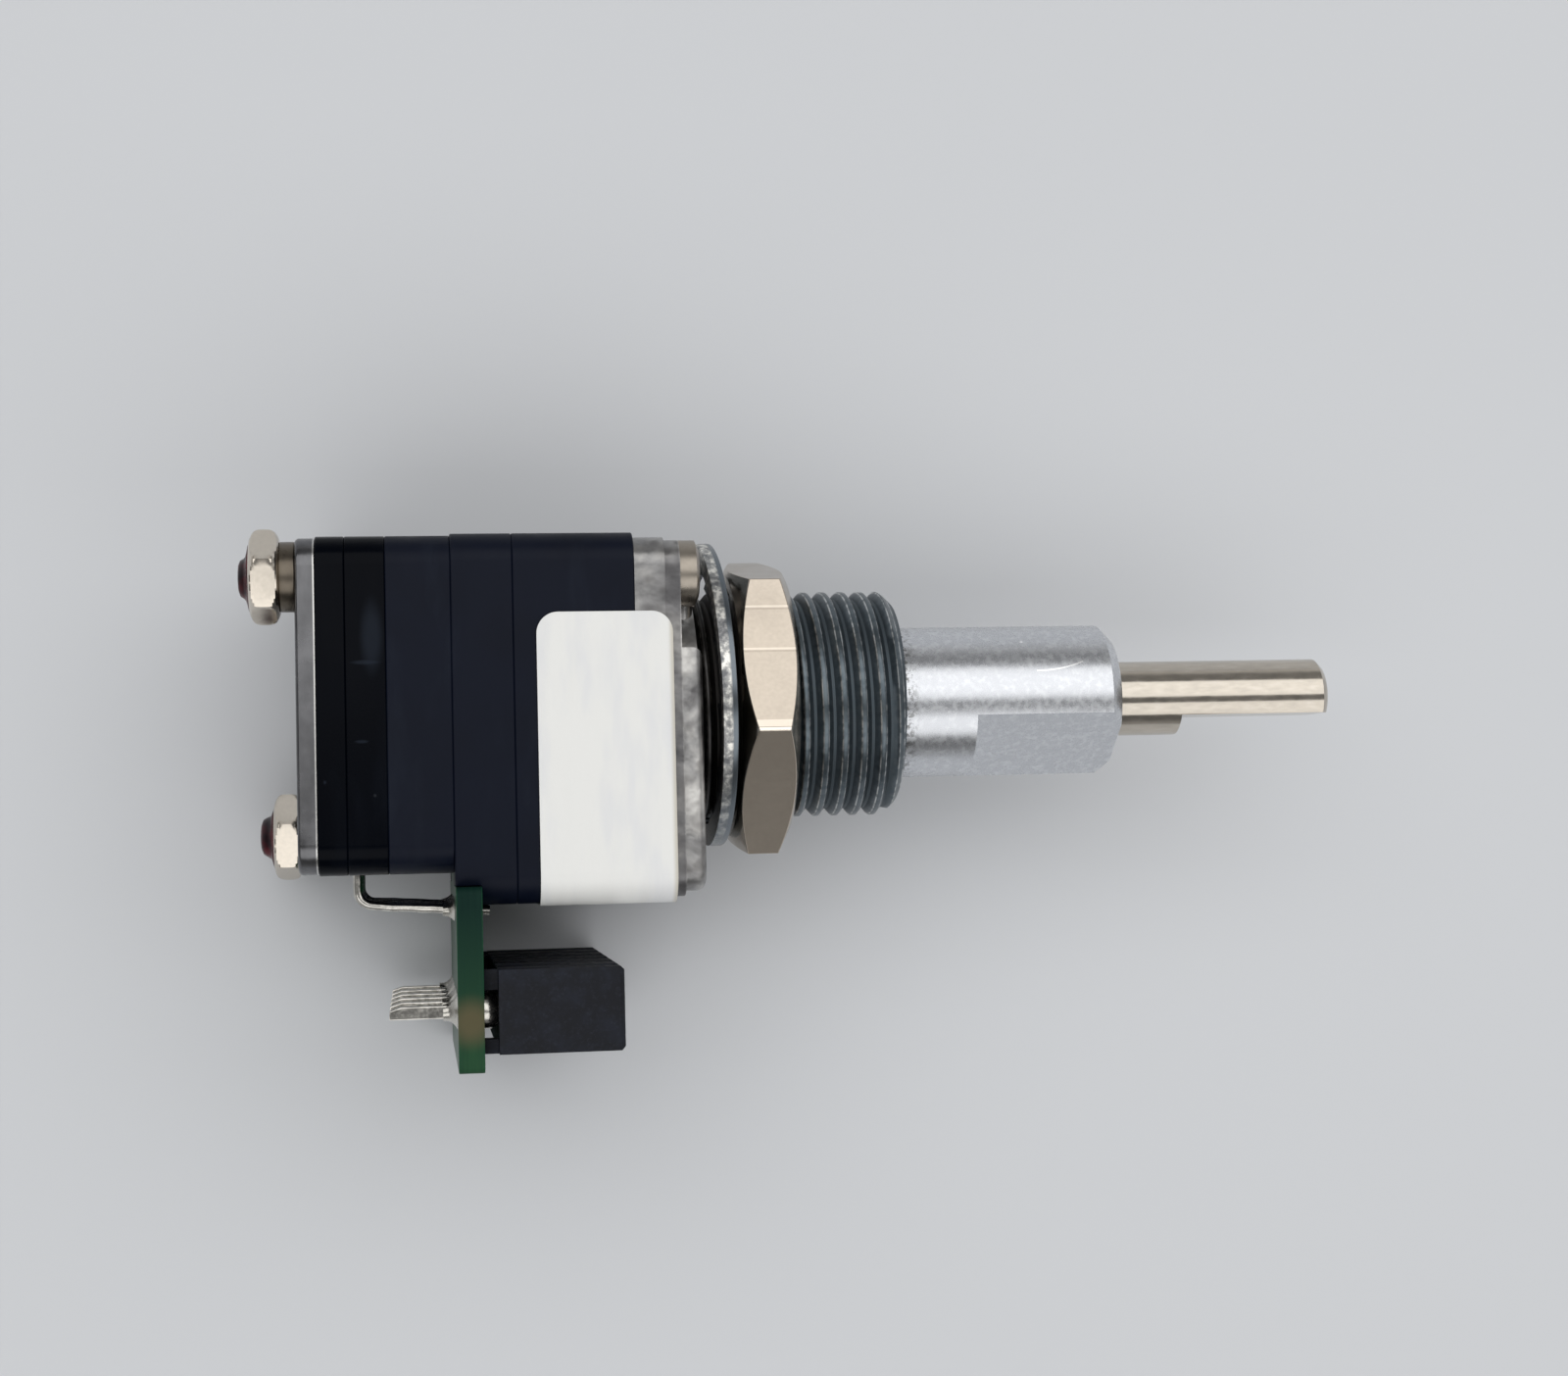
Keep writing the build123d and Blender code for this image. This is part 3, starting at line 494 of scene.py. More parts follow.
@dataclass(frozen=True)
class SatinAluminium(Finish):
    """Turned aluminium, tumbled to a satin grain: pale with a fine sparkle, a scratch and dirt
    where it leaves the bushing."""

    dirt_from: float = 8.65
    dirt_to: float = 9.45
    dot: tuple[float, float, float] = (13.99, 2.36, 2.12)
    scratch: tuple[float, float, float] = (14.46, 6.65, 2.92)
    scratch_radius: float = 5.55
    scratch_middle: tuple[float, float, float] = (15.45, 1.20, 2.94)
    scratch_half: float = 1.05

    def pattern(self, tree: bpy.types.NodeTree, place: Socket) -> Surface:
        """Short strokes round the shaft, slow bands along it, a bright dent and grey grit.

        Args:
            tree: The material's node tree.
            place: The piece's own coordinates, in metres.

        Returns:
            Satin metal with its dent, scratch and dirt.
        """
        round_it = add(tree, "Mapping", {"Vector": place, "Scale": (1.0, 0.12, 0.12)})
        # The tool leaves a line every 0.05 mm, drawn nearly three times as far apart to show.
        turned = add(tree, "TexNoise", {"Vector": round_it, "Scale": per_mm(0.14), "Detail": 2.0})
        # Tumbling leaves 0.05 mm dimples, drawn here five times as wide so that they show.
        dimple = add(tree, "TexNoise", {"Vector": place, "Scale": per_mm(0.26), "Detail": 3.0,
                                        "Roughness": 0.55})
        patch = add(tree, "TexNoise", {"Vector": place, "Scale": per_mm(0.7), "Detail": 3.0})
        colour = add(tree, "ValToRGB", {"Fac": dimple},
                     stops=((0.32, linear("CCCED2")), (0.50, linear(self.colour)),
                            (0.68, linear("DFE1E4"))))
        fade = add(tree, "MapRange", {"Value": patch, 1: 0.35, 2: 0.65, 3: 0.12, 4: 0.0})
        x = add(tree, "SeparateXYZ", {0: place}, "X")
        near = add(tree, "MapRange", {"Value": x, 1: self.dirt_from * MM, 2: self.dirt_to * MM,
                                      3: 1.0, 4: 0.0})
        specks = add(tree, "TexNoise", {"Vector": place, "Scale": per_mm(0.24), "Detail": 4.0,
                                        "Roughness": 0.7})
        grit = add(tree, "MapRange", {"Value": specks, 1: 0.50, 2: 0.58, 3: 0.0, 4: 1.0})
        dirt = add(tree, "Math", {0: near, 1: grit}, operation="MULTIPLY")
        gone, arm, along = (
            add(tree, "VectorMath", {0: place, 1: Vector(point) * MM}, "Value",
                operation="DISTANCE")
            for point in (self.dot, self.scratch, self.scratch_middle))
        dent = add(tree, "MapRange", {"Value": gone, 1: 0.05 * MM, 2: 0.08 * MM, 3: 1.0, 4: 0.0})
        arc = add(tree, "Math", {0: arm, 1: self.scratch_radius * MM, 2: 0.03 * MM},
                  operation="COMPARE")
        span = add(tree, "Math", {0: along, 1: self.scratch_half * MM}, operation="LESS_THAN")
        line = add(tree, "Math", {0: arc, 1: span}, operation="MULTIPLY")
        pale = add(tree, "Math", {0: dent, 1: line}, operation="MAXIMUM")
        over = [(fade, self.darker(0.8)), (dirt, linear("4A4842")), (pale, linear("FFFFFF"))]
        rough = (dimple, 0.3, 0.7, self.roughness - 0.03, self.roughness + 0.04)
        marks = add(tree, "Mix", {0: 0.6, 2: turned, 3: dimple})
        height = add(tree, "Mix", {0: 0.5, 2: patch, 3: marks})
        return Surface(colour, rough, height, 0.0012, over)


@dataclass(frozen=True)
class GroundStainless(Finish):
    """Centreless-ground stainless steel: warm grey and glossy, with fine rings and soft bands
    along it."""

    def pattern(self, tree: bpy.types.NodeTree, place: Socket) -> Surface:
        """Rings round the shaft and a slight unevenness along it.

        Args:
            tree: The material's node tree.
            place: The piece's own coordinates, in metres.

        Returns:
            Warm metal with fine rings.
        """
        round_it = add(tree, "Mapping", {"Vector": place, "Scale": (1.0, 0.05, 0.05)})
        # The wheel's own marks are 0.01 mm apart; 0.1 mm is the finest that still shows.
        rings = add(tree, "TexNoise", {"Vector": round_it, "Scale": per_mm(0.10), "Detail": 2.0})
        lengthwise = add(tree, "Mapping", {"Vector": place, "Scale": (0.3, 1.0, 1.0)})
        bands = add(tree, "TexNoise", {"Vector": lengthwise, "Scale": per_mm(0.22),
                                       "Detail": 3.0})
        colour = add(tree, "ValToRGB", {"Fac": bands},
                     stops=((0.30, linear("BBB4A9")), (0.52, linear(self.colour)),
                            (0.74, linear("CCC4B9"))))
        rough = (bands, 0.3, 0.7, self.roughness - 0.03, self.roughness + 0.04)
        height = add(tree, "Mix", {0: 0.6, 2: rings, 3: bands})
        return Surface(colour, rough, height, 0.0015)


@dataclass(frozen=True)
class StampedSteel(Finish):
    """Plated steel blanked from sheet: grey, with rolling marks and, where it has one, a painted
    highlight along its front corner."""

    # Station of the front corner that gets a painted highlight, if any.
    lip: float | None = None

    def pattern(self, tree: bpy.types.NodeTree, place: Socket) -> Surface:
        """Rolling grain along Y, dull patches of plating and the corner's painted highlight.

        Args:
            tree: The material's node tree.
            place: The piece's own coordinates, in metres.

        Returns:
            Plated sheet, with its bright corner where it has one.
        """
        along = add(tree, "Mapping", {"Vector": place, "Scale": (1.0, 0.25, 1.0)})
        # Rolling lines are 0.05 mm apart, drawn seven times as far apart to show.
        rolled = add(tree, "TexNoise", {"Vector": along, "Scale": per_mm(0.35), "Detail": 3.0})
        cloud = add(tree, "TexNoise", {"Vector": place, "Scale": per_mm(1.4), "Detail": 4.0,
                                       "Roughness": 0.6})
        colour = add(tree, "ValToRGB", {"Fac": cloud},
                     stops=((0.32, self.darker(0.72)), (0.52, linear(self.colour)),
                            (0.72, self.darker(1.25))))
        shade = add(tree, "MapRange", {"Value": rolled, 1: 0.35, 2: 0.65, 3: 0.35, 4: 0.0})
        over = [(shade, self.darker(0.6))]
        if self.lip is not None:
            x = add(tree, "SeparateXYZ", {0: place}, "X")
            # A bright line painted along the front corner as its highlight.
            edge = add(tree, "MapRange", {"Value": x, 1: (self.lip - 0.09) * MM,
                                          2: (self.lip - 0.05) * MM, 3: 0.0, 4: 1.0})
            over.append((edge, linear("DAD9D6")))
        rough = (cloud, 0.3, 0.7, self.roughness - 0.06, self.roughness + 0.10)
        height = add(tree, "Mix", {0: 0.5, 2: rolled, 3: cloud})
        return Surface(colour, rough, height, 0.008, over)


@dataclass(frozen=True)
class TinPlate(Finish):
    """Tin or solder that has wetted and set: bright, slowly dimpled, greyer in patches."""

    ripple: float = 0.45

    def pattern(self, tree: bpy.types.NodeTree, place: Socket) -> Surface:
        """Slow dimples, and grey patches of the same size.

        Args:
            tree: The material's node tree.
            place: The piece's own coordinates, in metres.

        Returns:
            Bright tin with greyer patches.
        """
        dimple = add(tree, "TexNoise", {"Vector": place, "Scale": per_mm(self.ripple),
                                        "Detail": 2.0})
        # Crystals of tin are 0.03 mm across; 0.12 mm is the finest frost that still shows.
        frost = add(tree, "TexNoise", {"Vector": place, "Scale": per_mm(0.12), "Detail": 2.0})
        grey = add(tree, "MapRange", {"Value": dimple, 1: 0.42, 2: 0.66, 3: 0.0, 4: 0.6}, **EASED)
        rough = (frost, 0.35, 0.7, self.roughness - 0.04, self.roughness + 0.10)
        return Surface(linear(self.colour), rough, dimple, 0.012, [(grey, self.darker(0.5))])


@dataclass(frozen=True)
class LabelFilm(Finish):
    """White polyester label: even satin face, a soft ripple and a slightly yellow cut edge,
    which is also painted darker as shade.
    """

    front: float = -1.2

    def pattern(self, tree: bpy.types.NodeTree, place: Socket) -> Surface:
        """A slow ripple, faint handling greys and the yellowed front edge in painted shade.

        Args:
            tree: The material's node tree.
            place: The piece's own coordinates, in metres.

        Returns:
            White film with soft streaks and a yellowed edge in painted shade.
        """
        along = add(tree, "Mapping", {"Vector": place, "Scale": (1.0, 0.25, 0.25)})
        ripple = add(tree, "TexNoise", {"Vector": along, "Scale": per_mm(2.2), "Detail": 2.0})
        # The film's matt tooth is 0.01 mm, drawn at 0.11 mm, the finest that still shows.
        tooth = add(tree, "TexNoise", {"Vector": place, "Scale": per_mm(0.11), "Detail": 2.0})
        smudge = add(tree, "TexNoise", {"Vector": along, "Scale": per_mm(1.3), "Detail": 3.0,
                                        "Roughness": 0.55})
        grey = add(tree, "MapRange", {"Value": smudge, 1: 0.42, 2: 0.66, 3: 0.0, 4: 0.7}, **EASED)
        x = add(tree, "SeparateXYZ", {0: place}, "X")
        # The front edge is painted yellowed and darker: the film's yellowed edge, and painted
        # shade where it lifts.
        edge = add(tree, "MapRange", {"Value": x, 1: (self.front - 0.24) * MM,
                                      2: (self.front - 0.02) * MM, 3: 0.0, 4: 0.75}, **EASED)
        over = [(grey, linear("D9DADC")), (edge, linear("B9B2A2"))]
        rough = (ripple, 0.3, 0.7, self.roughness - 0.06, self.roughness + 0.06)
        height = add(tree, "Mix", {0: 0.01, 2: ripple, 3: tooth})
        return Surface(linear(self.colour), rough, height, 0.35, over)


@dataclass(frozen=True)
class GlassEpoxyBoard(Finish):
    """Glass-epoxy board under green solder mask: glossy over a faint weave on its two faces,
    dull layered laminate at the sawn edge, browned beside the hand-soldered pins."""

    back: float = -9.85
    front: float = -8.85
    skin: float = 0.05
    paler_from: float = -7.9
    paler_to: float = -14.25
    scorch: tuple[float, float, float] = (-9.35, -12.3, 7.62)

    def pattern(self, tree: bpy.types.NodeTree, place: Socket) -> Surface:
        """Mask on the faces, laminate between them in painted shade near the body, the browned
        spot.

        Args:
            tree: The material's node tree.
            place: The piece's own coordinates, in metres.

        Returns:
            Green faces, a layered edge and the browned spot.
        """
        x, y = (add(tree, "SeparateXYZ", {0: place}, axis) for axis in "XY")
        on_back = add(tree, "MapRange", {"Value": x, 1: self.back * MM,
                                         2: (self.back + self.skin) * MM, 3: 1.0, 4: 0.0})
        on_front = add(tree, "MapRange", {"Value": x, 1: (self.front - self.skin) * MM,
                                          2: self.front * MM, 3: 0.0, 4: 1.0})
        mask = add(tree, "Math", {0: on_back, 1: on_front}, operation="MAXIMUM")
        squeezed = add(tree, "Mapping", {"Vector": place, "Scale": (1.0, 0.05, 0.05)})
        # Glass cloth lies in plies 0.14 mm thick, with a yarn every 0.5 mm.
        layers = add(tree, "TexNoise", {"Vector": squeezed, "Scale": per_mm(0.14), "Detail": 2.0,
                                        "Roughness": 0.6})
        weave = add(tree, "TexNoise", {"Vector": place, "Scale": per_mm(0.5), "Detail": 3.0})
        # The laminate edge is painted darker near the body and paler towards -Y: painted shade
        # near the body.
        low = add(tree, "MapRange", {"Value": y, 1: self.paler_from * MM, 2: self.paler_to * MM,
                                     3: 0.0, 4: 1.0})
        tint = add(tree, "MapRange", {"Value": layers, 1: 0.35, 2: 0.65, 3: 0.0, 4: 0.35})
        green = add(tree, "Mix", {0: weave, 6: linear(self.colour), 7: linear("0B3A24")}, 2,
                    **COLOURS)
        gone = add(tree, "VectorMath", {0: place, 1: Vector(self.scorch) * MM}, "Value",
                   operation="DISTANCE")
        brown = add(tree, "MapRange", {"Value": gone, 1: 0.25 * MM, 2: 1.25 * MM, 3: 0.85, 4: 0.0},
                    **EASED)
        over = [(low, linear("25492F")), (tint, linear("123026")), (mask, green),
                (brown, linear("5A523C"))]
        height = add(tree, "Mix", {0: 0.5, 2: weave, 3: layers})
        return Surface(linear("04231D"), (mask, 0.0, 1.0, 0.62, 0.30), height, 0.006, over)


@dataclass(frozen=True)
class FlameRetardantPolyester(Finish):
    """Black moulded polyester of the socket: dull and a little dusty, with fine mould lines
    that run with the sockets."""

    line: float = 0.62

    def pattern(self, tree: bpy.types.NodeTree, place: Socket) -> Surface:
        """Dust in clouds over evenly spaced lines.

        Args:
            tree: The material's node tree.
            place: The piece's own coordinates, in metres.

        Returns:
            Dusty black with fine mould lines.
        """
        dust = add(tree, "TexNoise", {"Vector": place, "Scale": per_mm(1.1), "Detail": 5.0,
                                      "Roughness": 0.65})
        # Moulded grain is 0.02 mm, drawn at 0.14 mm, the finest that still shows.
        fine = add(tree, "TexNoise", {"Vector": place, "Scale": per_mm(0.14), "Detail": 3.0,
                                      "Roughness": 0.6})
        lines = add(tree, "TexWave", {"Vector": place, "Scale": per_mm(self.line) / tau,
                                      "Distortion": 0.3, "Detail": 1.0}, "Fac",
                    bands_direction="Z")
        cloud = add(tree, "MapRange", {"Value": dust, 1: 0.42, 2: 0.72, 3: 0.0, 4: 0.7}, **EASED)
        grain = add(tree, "MapRange", {"Value": fine, 1: 0.52, 2: 0.72, 3: 0.0, 4: 0.35})
        over = [(cloud, linear("1B1F2A")), (grain, linear("262A36"))]
        rough = (dust, 0.3, 0.7, self.roughness - 0.08, self.roughness + 0.10)
        height = add(tree, "Mix", {0: 0.5, 2: fine, 3: lines})
        return Surface(linear(self.colour), rough, height, 0.012, over)


@dataclass(frozen=True)
class ThreadLacquer(Finish):
    """Thread-locking lacquer: dark red and wet-looking where thick, nearly black in the middle
    of the dab."""

    def pattern(self, tree: bpy.types.NodeTree, place: Socket) -> Surface:
        """Darker pools with a slightly wrinkled skin.

        Args:
            tree: The material's node tree.
            place: The piece's own coordinates, in metres.

        Returns:
            Dark red with nearly black pools.
        """
        pool = add(tree, "TexNoise", {"Vector": place, "Scale": per_mm(0.9), "Detail": 2.0})
        deep = add(tree, "MapRange", {"Value": pool, 1: 0.35, 2: 0.65, 3: 0.0, 4: 1.0}, **EASED)
        rough = (pool, 0.3, 0.7, self.roughness, self.roughness + 0.12)
        return Surface(linear(self.colour), rough, pool, 0.04, [(deep, linear("14030A"))])


class Palette(Enum):
    """Every finish on the encoder."""

    MOULDING = GlassFilledNylon("glass_filled_nylon", Slot.MOULDING, "080E1D", 0.0, 0.46,
                                1.53, 0.12)
    # A polished tool leaves the rear mouldings nearly black, with a sharper shine.
    CAP = GlassFilledNylon("glass_filled_nylon_glossy", Slot.MOULDING, "02040A", 0.0, 0.22,
                           1.53, 0.05, rub=0.5, wear="0E131D",
                           scuffs=((-13.16, 1.60, 0.70, 0.12), (-13.33, -1.46, 0.34, 0.09),
                                   (-12.90, 2.60, 0.55, 1.80), (-14.75, -3.00, 0.08, 0.10)))
    ZINC = DieCastZinc("die_cast_zinc", Slot.ZINC, "A09F9E", 1.0, 0.50)
    THREAD = ThreadedZinc("chased_zinc_thread", Slot.ZINC, "656D72", 1.0, 0.35)
    NICKEL = BrightNickel("bright_nickel", Slot.NICKEL, "D8CFC2", 1.0, 0.14)
    NUT = MilledNickel("milled_nickel", Slot.NICKEL, "C0B5A7", 1.0, 0.18)
    # The screws' plating has dulled: the same shine, spread wider.
    SCREW = BrightNickel("dull_nickel", Slot.NICKEL, "A0988D", 1.0, 0.30)
    RIM = ShearedSpringSteel("sheared_spring_steel", Slot.SPRING, "A9A9A7", 1.0, 0.28)
    # Rolled strip is smooth and neutral grey, and shines like dull plating.
    SPRING = BrightNickel("rolled_spring_steel", Slot.SPRING, "9D9C9A", 1.0, 0.30)
    ALUMINIUM = SatinAluminium("tumbled_aluminium", Slot.ALUMINIUM, "D0D2D6", 1.0, 0.27)
    STAINLESS = GroundStainless("ground_stainless_steel", Slot.STAINLESS, "C4BCB0", 1.0, 0.14)
    PLATE = StampedSteel("plated_steel_sheet", Slot.STAMPED, "6F6F71", 1.0, 0.22, lip=-15.05)
    # Where the plating has tarnished, the steel is brown and the shine soft.
    STANDOFF = StampedSteel("tarnished_steel", Slot.STAMPED, "6F675C", 1.0, 0.30)
    TIN = TinPlate("tin_plate", Slot.TINNED, "D6D3CC", 1.0, 0.16)
    # Solder sets a little duller than tin, with a slower ripple.
    SOLDER = TinPlate("set_solder", Slot.SOLDER, "CFCCC4", 1.0, 0.22, ripple=0.6)
    LABEL = LabelFilm("polyester_label_film", Slot.LABEL, "E3E3E0", roughness=0.42)
    BOARD = GlassEpoxyBoard("glass_epoxy_board", Slot.BOARD, "0D4A2C", specular=0.12)
    SOCKET = FlameRetardantPolyester("flame_retardant_polyester", Slot.CONNECTOR, "0A0D15",
                                     0.0, 0.58, 1.57, 0.2)
    LACQUER = ThreadLacquer("thread_lacquer", Slot.LACQUER, "4C0512", 0.0, 0.22, specular=0.2,
                            coat=0.06)
    # Uncoloured acetal, moulded, is milky with a waxy half-shine.
    ACETAL = Finish("natural_acetal", Slot.ACETAL, "E6E3D8", roughness=0.4, ior=1.48)
    # Etching leaves rolled sheet grey and even, with its rolling lines still there.
    DISC = StampedSteel("etched_steel_disc", Slot.DISC, "8A8A89", 1.0, 0.35)
    # Epoxy moulded in a polished tool is black, with a small sharp gleam.
    EPOXY = Finish("moulded_epoxy", Slot.EPOXY, "101012", roughness=0.25, ior=1.55)


# --- mesh building ----------------------------------------------------------------------------


def place_of(node: str) -> tuple[Vector, Vector]:
    """Find a CAD node.

    Args:
        node: Its name.

    Returns:
        Its lowest and highest corner, in millimetres.
    """
    low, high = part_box(node)
    return Vector(low) / MM, Vector(high) / MM


def skin_of(node: str) -> bmesh.types.BMesh:
    """Copy a CAD node's mesh, join its loose triangles and melt the flat ones together.

    Args:
        node: The CAD node's name.

    Returns:
        A closed mesh with one face for each flat face that has no hole.
    """
    bm = bmesh.new()
    bm.from_mesh(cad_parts[node].data)
    bmesh.ops.remove_doubles(bm, verts=bm.verts, dist=JOIN * MM)
    bmesh.ops.dissolve_limit(bm, angle_limit=radians(FLAT), verts=bm.verts, edges=bm.edges)
    bm.normal_update()
    return bm


def fold(edge: bmesh.types.BMEdge) -> float:
    """The angle an edge turns through, or 0 at a loose edge."""
    return edge.calc_face_angle(0.0)


def drag(bm: bmesh.types.BMesh, ring: list[bmesh.types.BMEdge],
         step: Vector) -> list[bmesh.types.BMEdge]:
    """Extrude a ring of edges.

    Args:
        bm: The mesh that holds it.
        ring: The open ring's edges.
        step: How far it goes, in metres.

    Returns:
        The ring at the new end.
    """
    made = bmesh.ops.extrude_edge_only(bm, edges=ring)["geom"]
    ends = [v for v in made if isinstance(v, bmesh.types.BMVert)]
    bmesh.ops.translate(bm, verts=ends, vec=step)
    return [e for e in made if isinstance(e, bmesh.types.BMEdge)
            and e.verts[0] in ends and e.verts[1] in ends]


def soften(bm: bmesh.types.BMesh, width: float, segments: int = 2, angle: float = 35.0,
           keep: Callable[[Vector], bool] | None = None) -> None:
    """Round the sharp edges of a mesh.

    Args:
        bm: The mesh.
        width: Width of the round, in millimetres.
        segments: Steps across it.
        angle: Folds sharper than this many degrees are rounded.
        keep: Rounds only edges whose middle, in millimetres, passes this test.
    """
    edges = [e for e in bm.edges if len(e.link_faces) == 2 and fold(e) > radians(angle)]
    if keep:
        edges = [e for e in edges if keep((e.verts[0].co + e.verts[1].co) / (2 * MM))]
    bmesh.ops.bevel(bm, geom=edges, offset=width * MM, segments=segments, profile=0.5,
                    affect="EDGES", clamp_overlap=True, material=-1)


def spin_profile(points: Iterable[Point], steps: int, around: Point = (0.0, 0.0),
                 closed: bool = False) -> bmesh.types.BMesh:
    """Turn a profile about an axis parallel to the shafts.

    Args:
        points: Station and radius of each corner, in millimetres.
        steps: Facets round the axis.
        around: The axis's Y and Z, in millimetres.
        closed: Whether the last corner joins the first, as round a bore.

    Returns:
        The turned mesh, closed where the profile is closed or meets the axis.
    """
    bm = bmesh.new()
    centre = Vector((0, around[0], around[1])) * MM
    verts = [bm.verts.new(centre + Vector((x, 0, r)) * MM) for x, r in points]
    pairs = list(zip(verts, verts[1:] + verts[:1])) if closed else list(zip(verts, verts[1:]))
    for pair in pairs:
        bm.edges.new(pair)
    bmesh.ops.spin(bm, geom=list(bm.verts) + list(bm.edges), cent=centre, axis=X_AXIS,
                   angle=tau, steps=steps, use_merge=True)
    bmesh.ops.remove_doubles(bm, verts=bm.verts, dist=JOIN * MM)
    bmesh.ops.recalc_face_normals(bm, faces=bm.faces)
    return bm


def slice_off(bm: bmesh.types.BMesh, station: float, drop: Drop) -> list[bmesh.types.BMEdge]:
    """Cut a mesh square to the shafts.

    Args:
        bm: The mesh.
        station: Where along X, in millimetres.
        drop: What goes.

    Returns:
        The edges along the cut.
    """
    everything = list(bm.verts) + list(bm.edges) + list(bm.faces)
    cut = bmesh.ops.bisect_plane(bm, geom=everything, plane_co=(station * MM, 0, 0),
                                 plane_no=X_AXIS, **{drop.value: True})["geom_cut"]
    return [e for e in cut if isinstance(e, bmesh.types.BMEdge)]


def close(bm: bmesh.types.BMesh) -> bmesh.types.BMesh:
    """Cap the open ends of a mesh and point its faces outwards.

    Args:
        bm: The mesh.

    Returns:
        The same mesh.
    """
    bmesh.ops.holes_fill(bm, edges=bm.edges, sides=0)
    bmesh.ops.recalc_face_normals(bm, faces=bm.faces)
    return bm


def merge(parts: Iterable[bmesh.types.BMesh]) -> bmesh.types.BMesh:
    """Put several meshes into the first of them and free the others.

    Args:
        parts: The meshes.

    Returns:
        The first one, which now holds them all.
    """
    whole, *others = parts
    for part in others:
        held = bpy.data.meshes.new("held")
        part.to_mesh(held)
        whole.from_mesh(held)
        bpy.data.meshes.remove(held)
        part.free()
    return whole


def new_object(name: str, data: bpy.types.ID) -> bpy.types.Object:
    """Put an object in the scene.

    Args:
        name: Its name.
        data: Its mesh, camera or lamp.

    Returns:
        The object, at the origin.
    """
    made = bpy.data.objects.new(name, data)
    bpy.context.scene.collection.objects.link(made)
    return made


def put(bm: bmesh.types.BMesh, name: str, body: Body, finish: Palette,
        replaces: Iterable[str] = (), crease: float = 38.0) -> bpy.types.Object:
    """Make a mesh a piece of the object.

    Args:
        bm: The mesh, which is freed.
        name: The piece's name.
        body: The body that it moves with.
        finish: Its material.
        replaces: CAD nodes that it stands for.
        crease: Folds sharper than this many degrees stay crisp.

    Returns:
        The piece.
    """
    for face in bm.faces:
        face.smooth = True
    for edge in bm.edges:
        edge.smooth = fold(edge) < radians(crease)
    mesh = bpy.data.meshes.new(name)
    bm.to_mesh(mesh)
    bm.free()
    piece = new_object(name, mesh)
    mesh.materials.append(finish.value.material())
    even = piece.modifiers.new("even_normals", "WEIGHTED_NORMAL")
    even.keep_sharp = True
    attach(piece, body.value)
    if replaces:
        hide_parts(*replaces)
    log.info("%s: %d faces", name, len(mesh.polygons))
    return piece


def reskin(node: str, name: str, finish: Palette, width: float, angle: float = 30.0,
           segments: int = 2, crease: float = 38.0, body: Body = Body.HOUSING,
           keep: Callable[[Vector], bool] | None = None) -> None:
    """Make a piece from a CAD node's own skin, with its sharp edges rounded.

    Args:
        node: The CAD node, which the piece replaces.
        name: The piece's name.
        finish: Its material.
        width: Width of the rounds, in millimetres.
        angle: Folds sharper than this many degrees are rounded.
        segments: Steps across a round.
        crease: Folds sharper than this many degrees stay crisp.
        body: The body that it moves with.
        keep: Rounds only edges whose middle, in millimetres, passes this test.
    """
    bm = skin_of(node)
    soften(bm, width, segments, angle, keep)
    put(bm, name, body, finish, [node], crease)


def dress(node: str, finish: Palette) -> None:
    """Give a CAD node that keeps its own mesh a finish.

    Args:
        node: Its name.
        finish: Its material.
    """
    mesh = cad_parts[node].data
    mesh.materials.clear()
    mesh.materials.append(finish.value.material())
    log.info("%s dressed as %s", node, finish.value.name)


# --- sub-assemblies ---------------------------------------------------------------------------


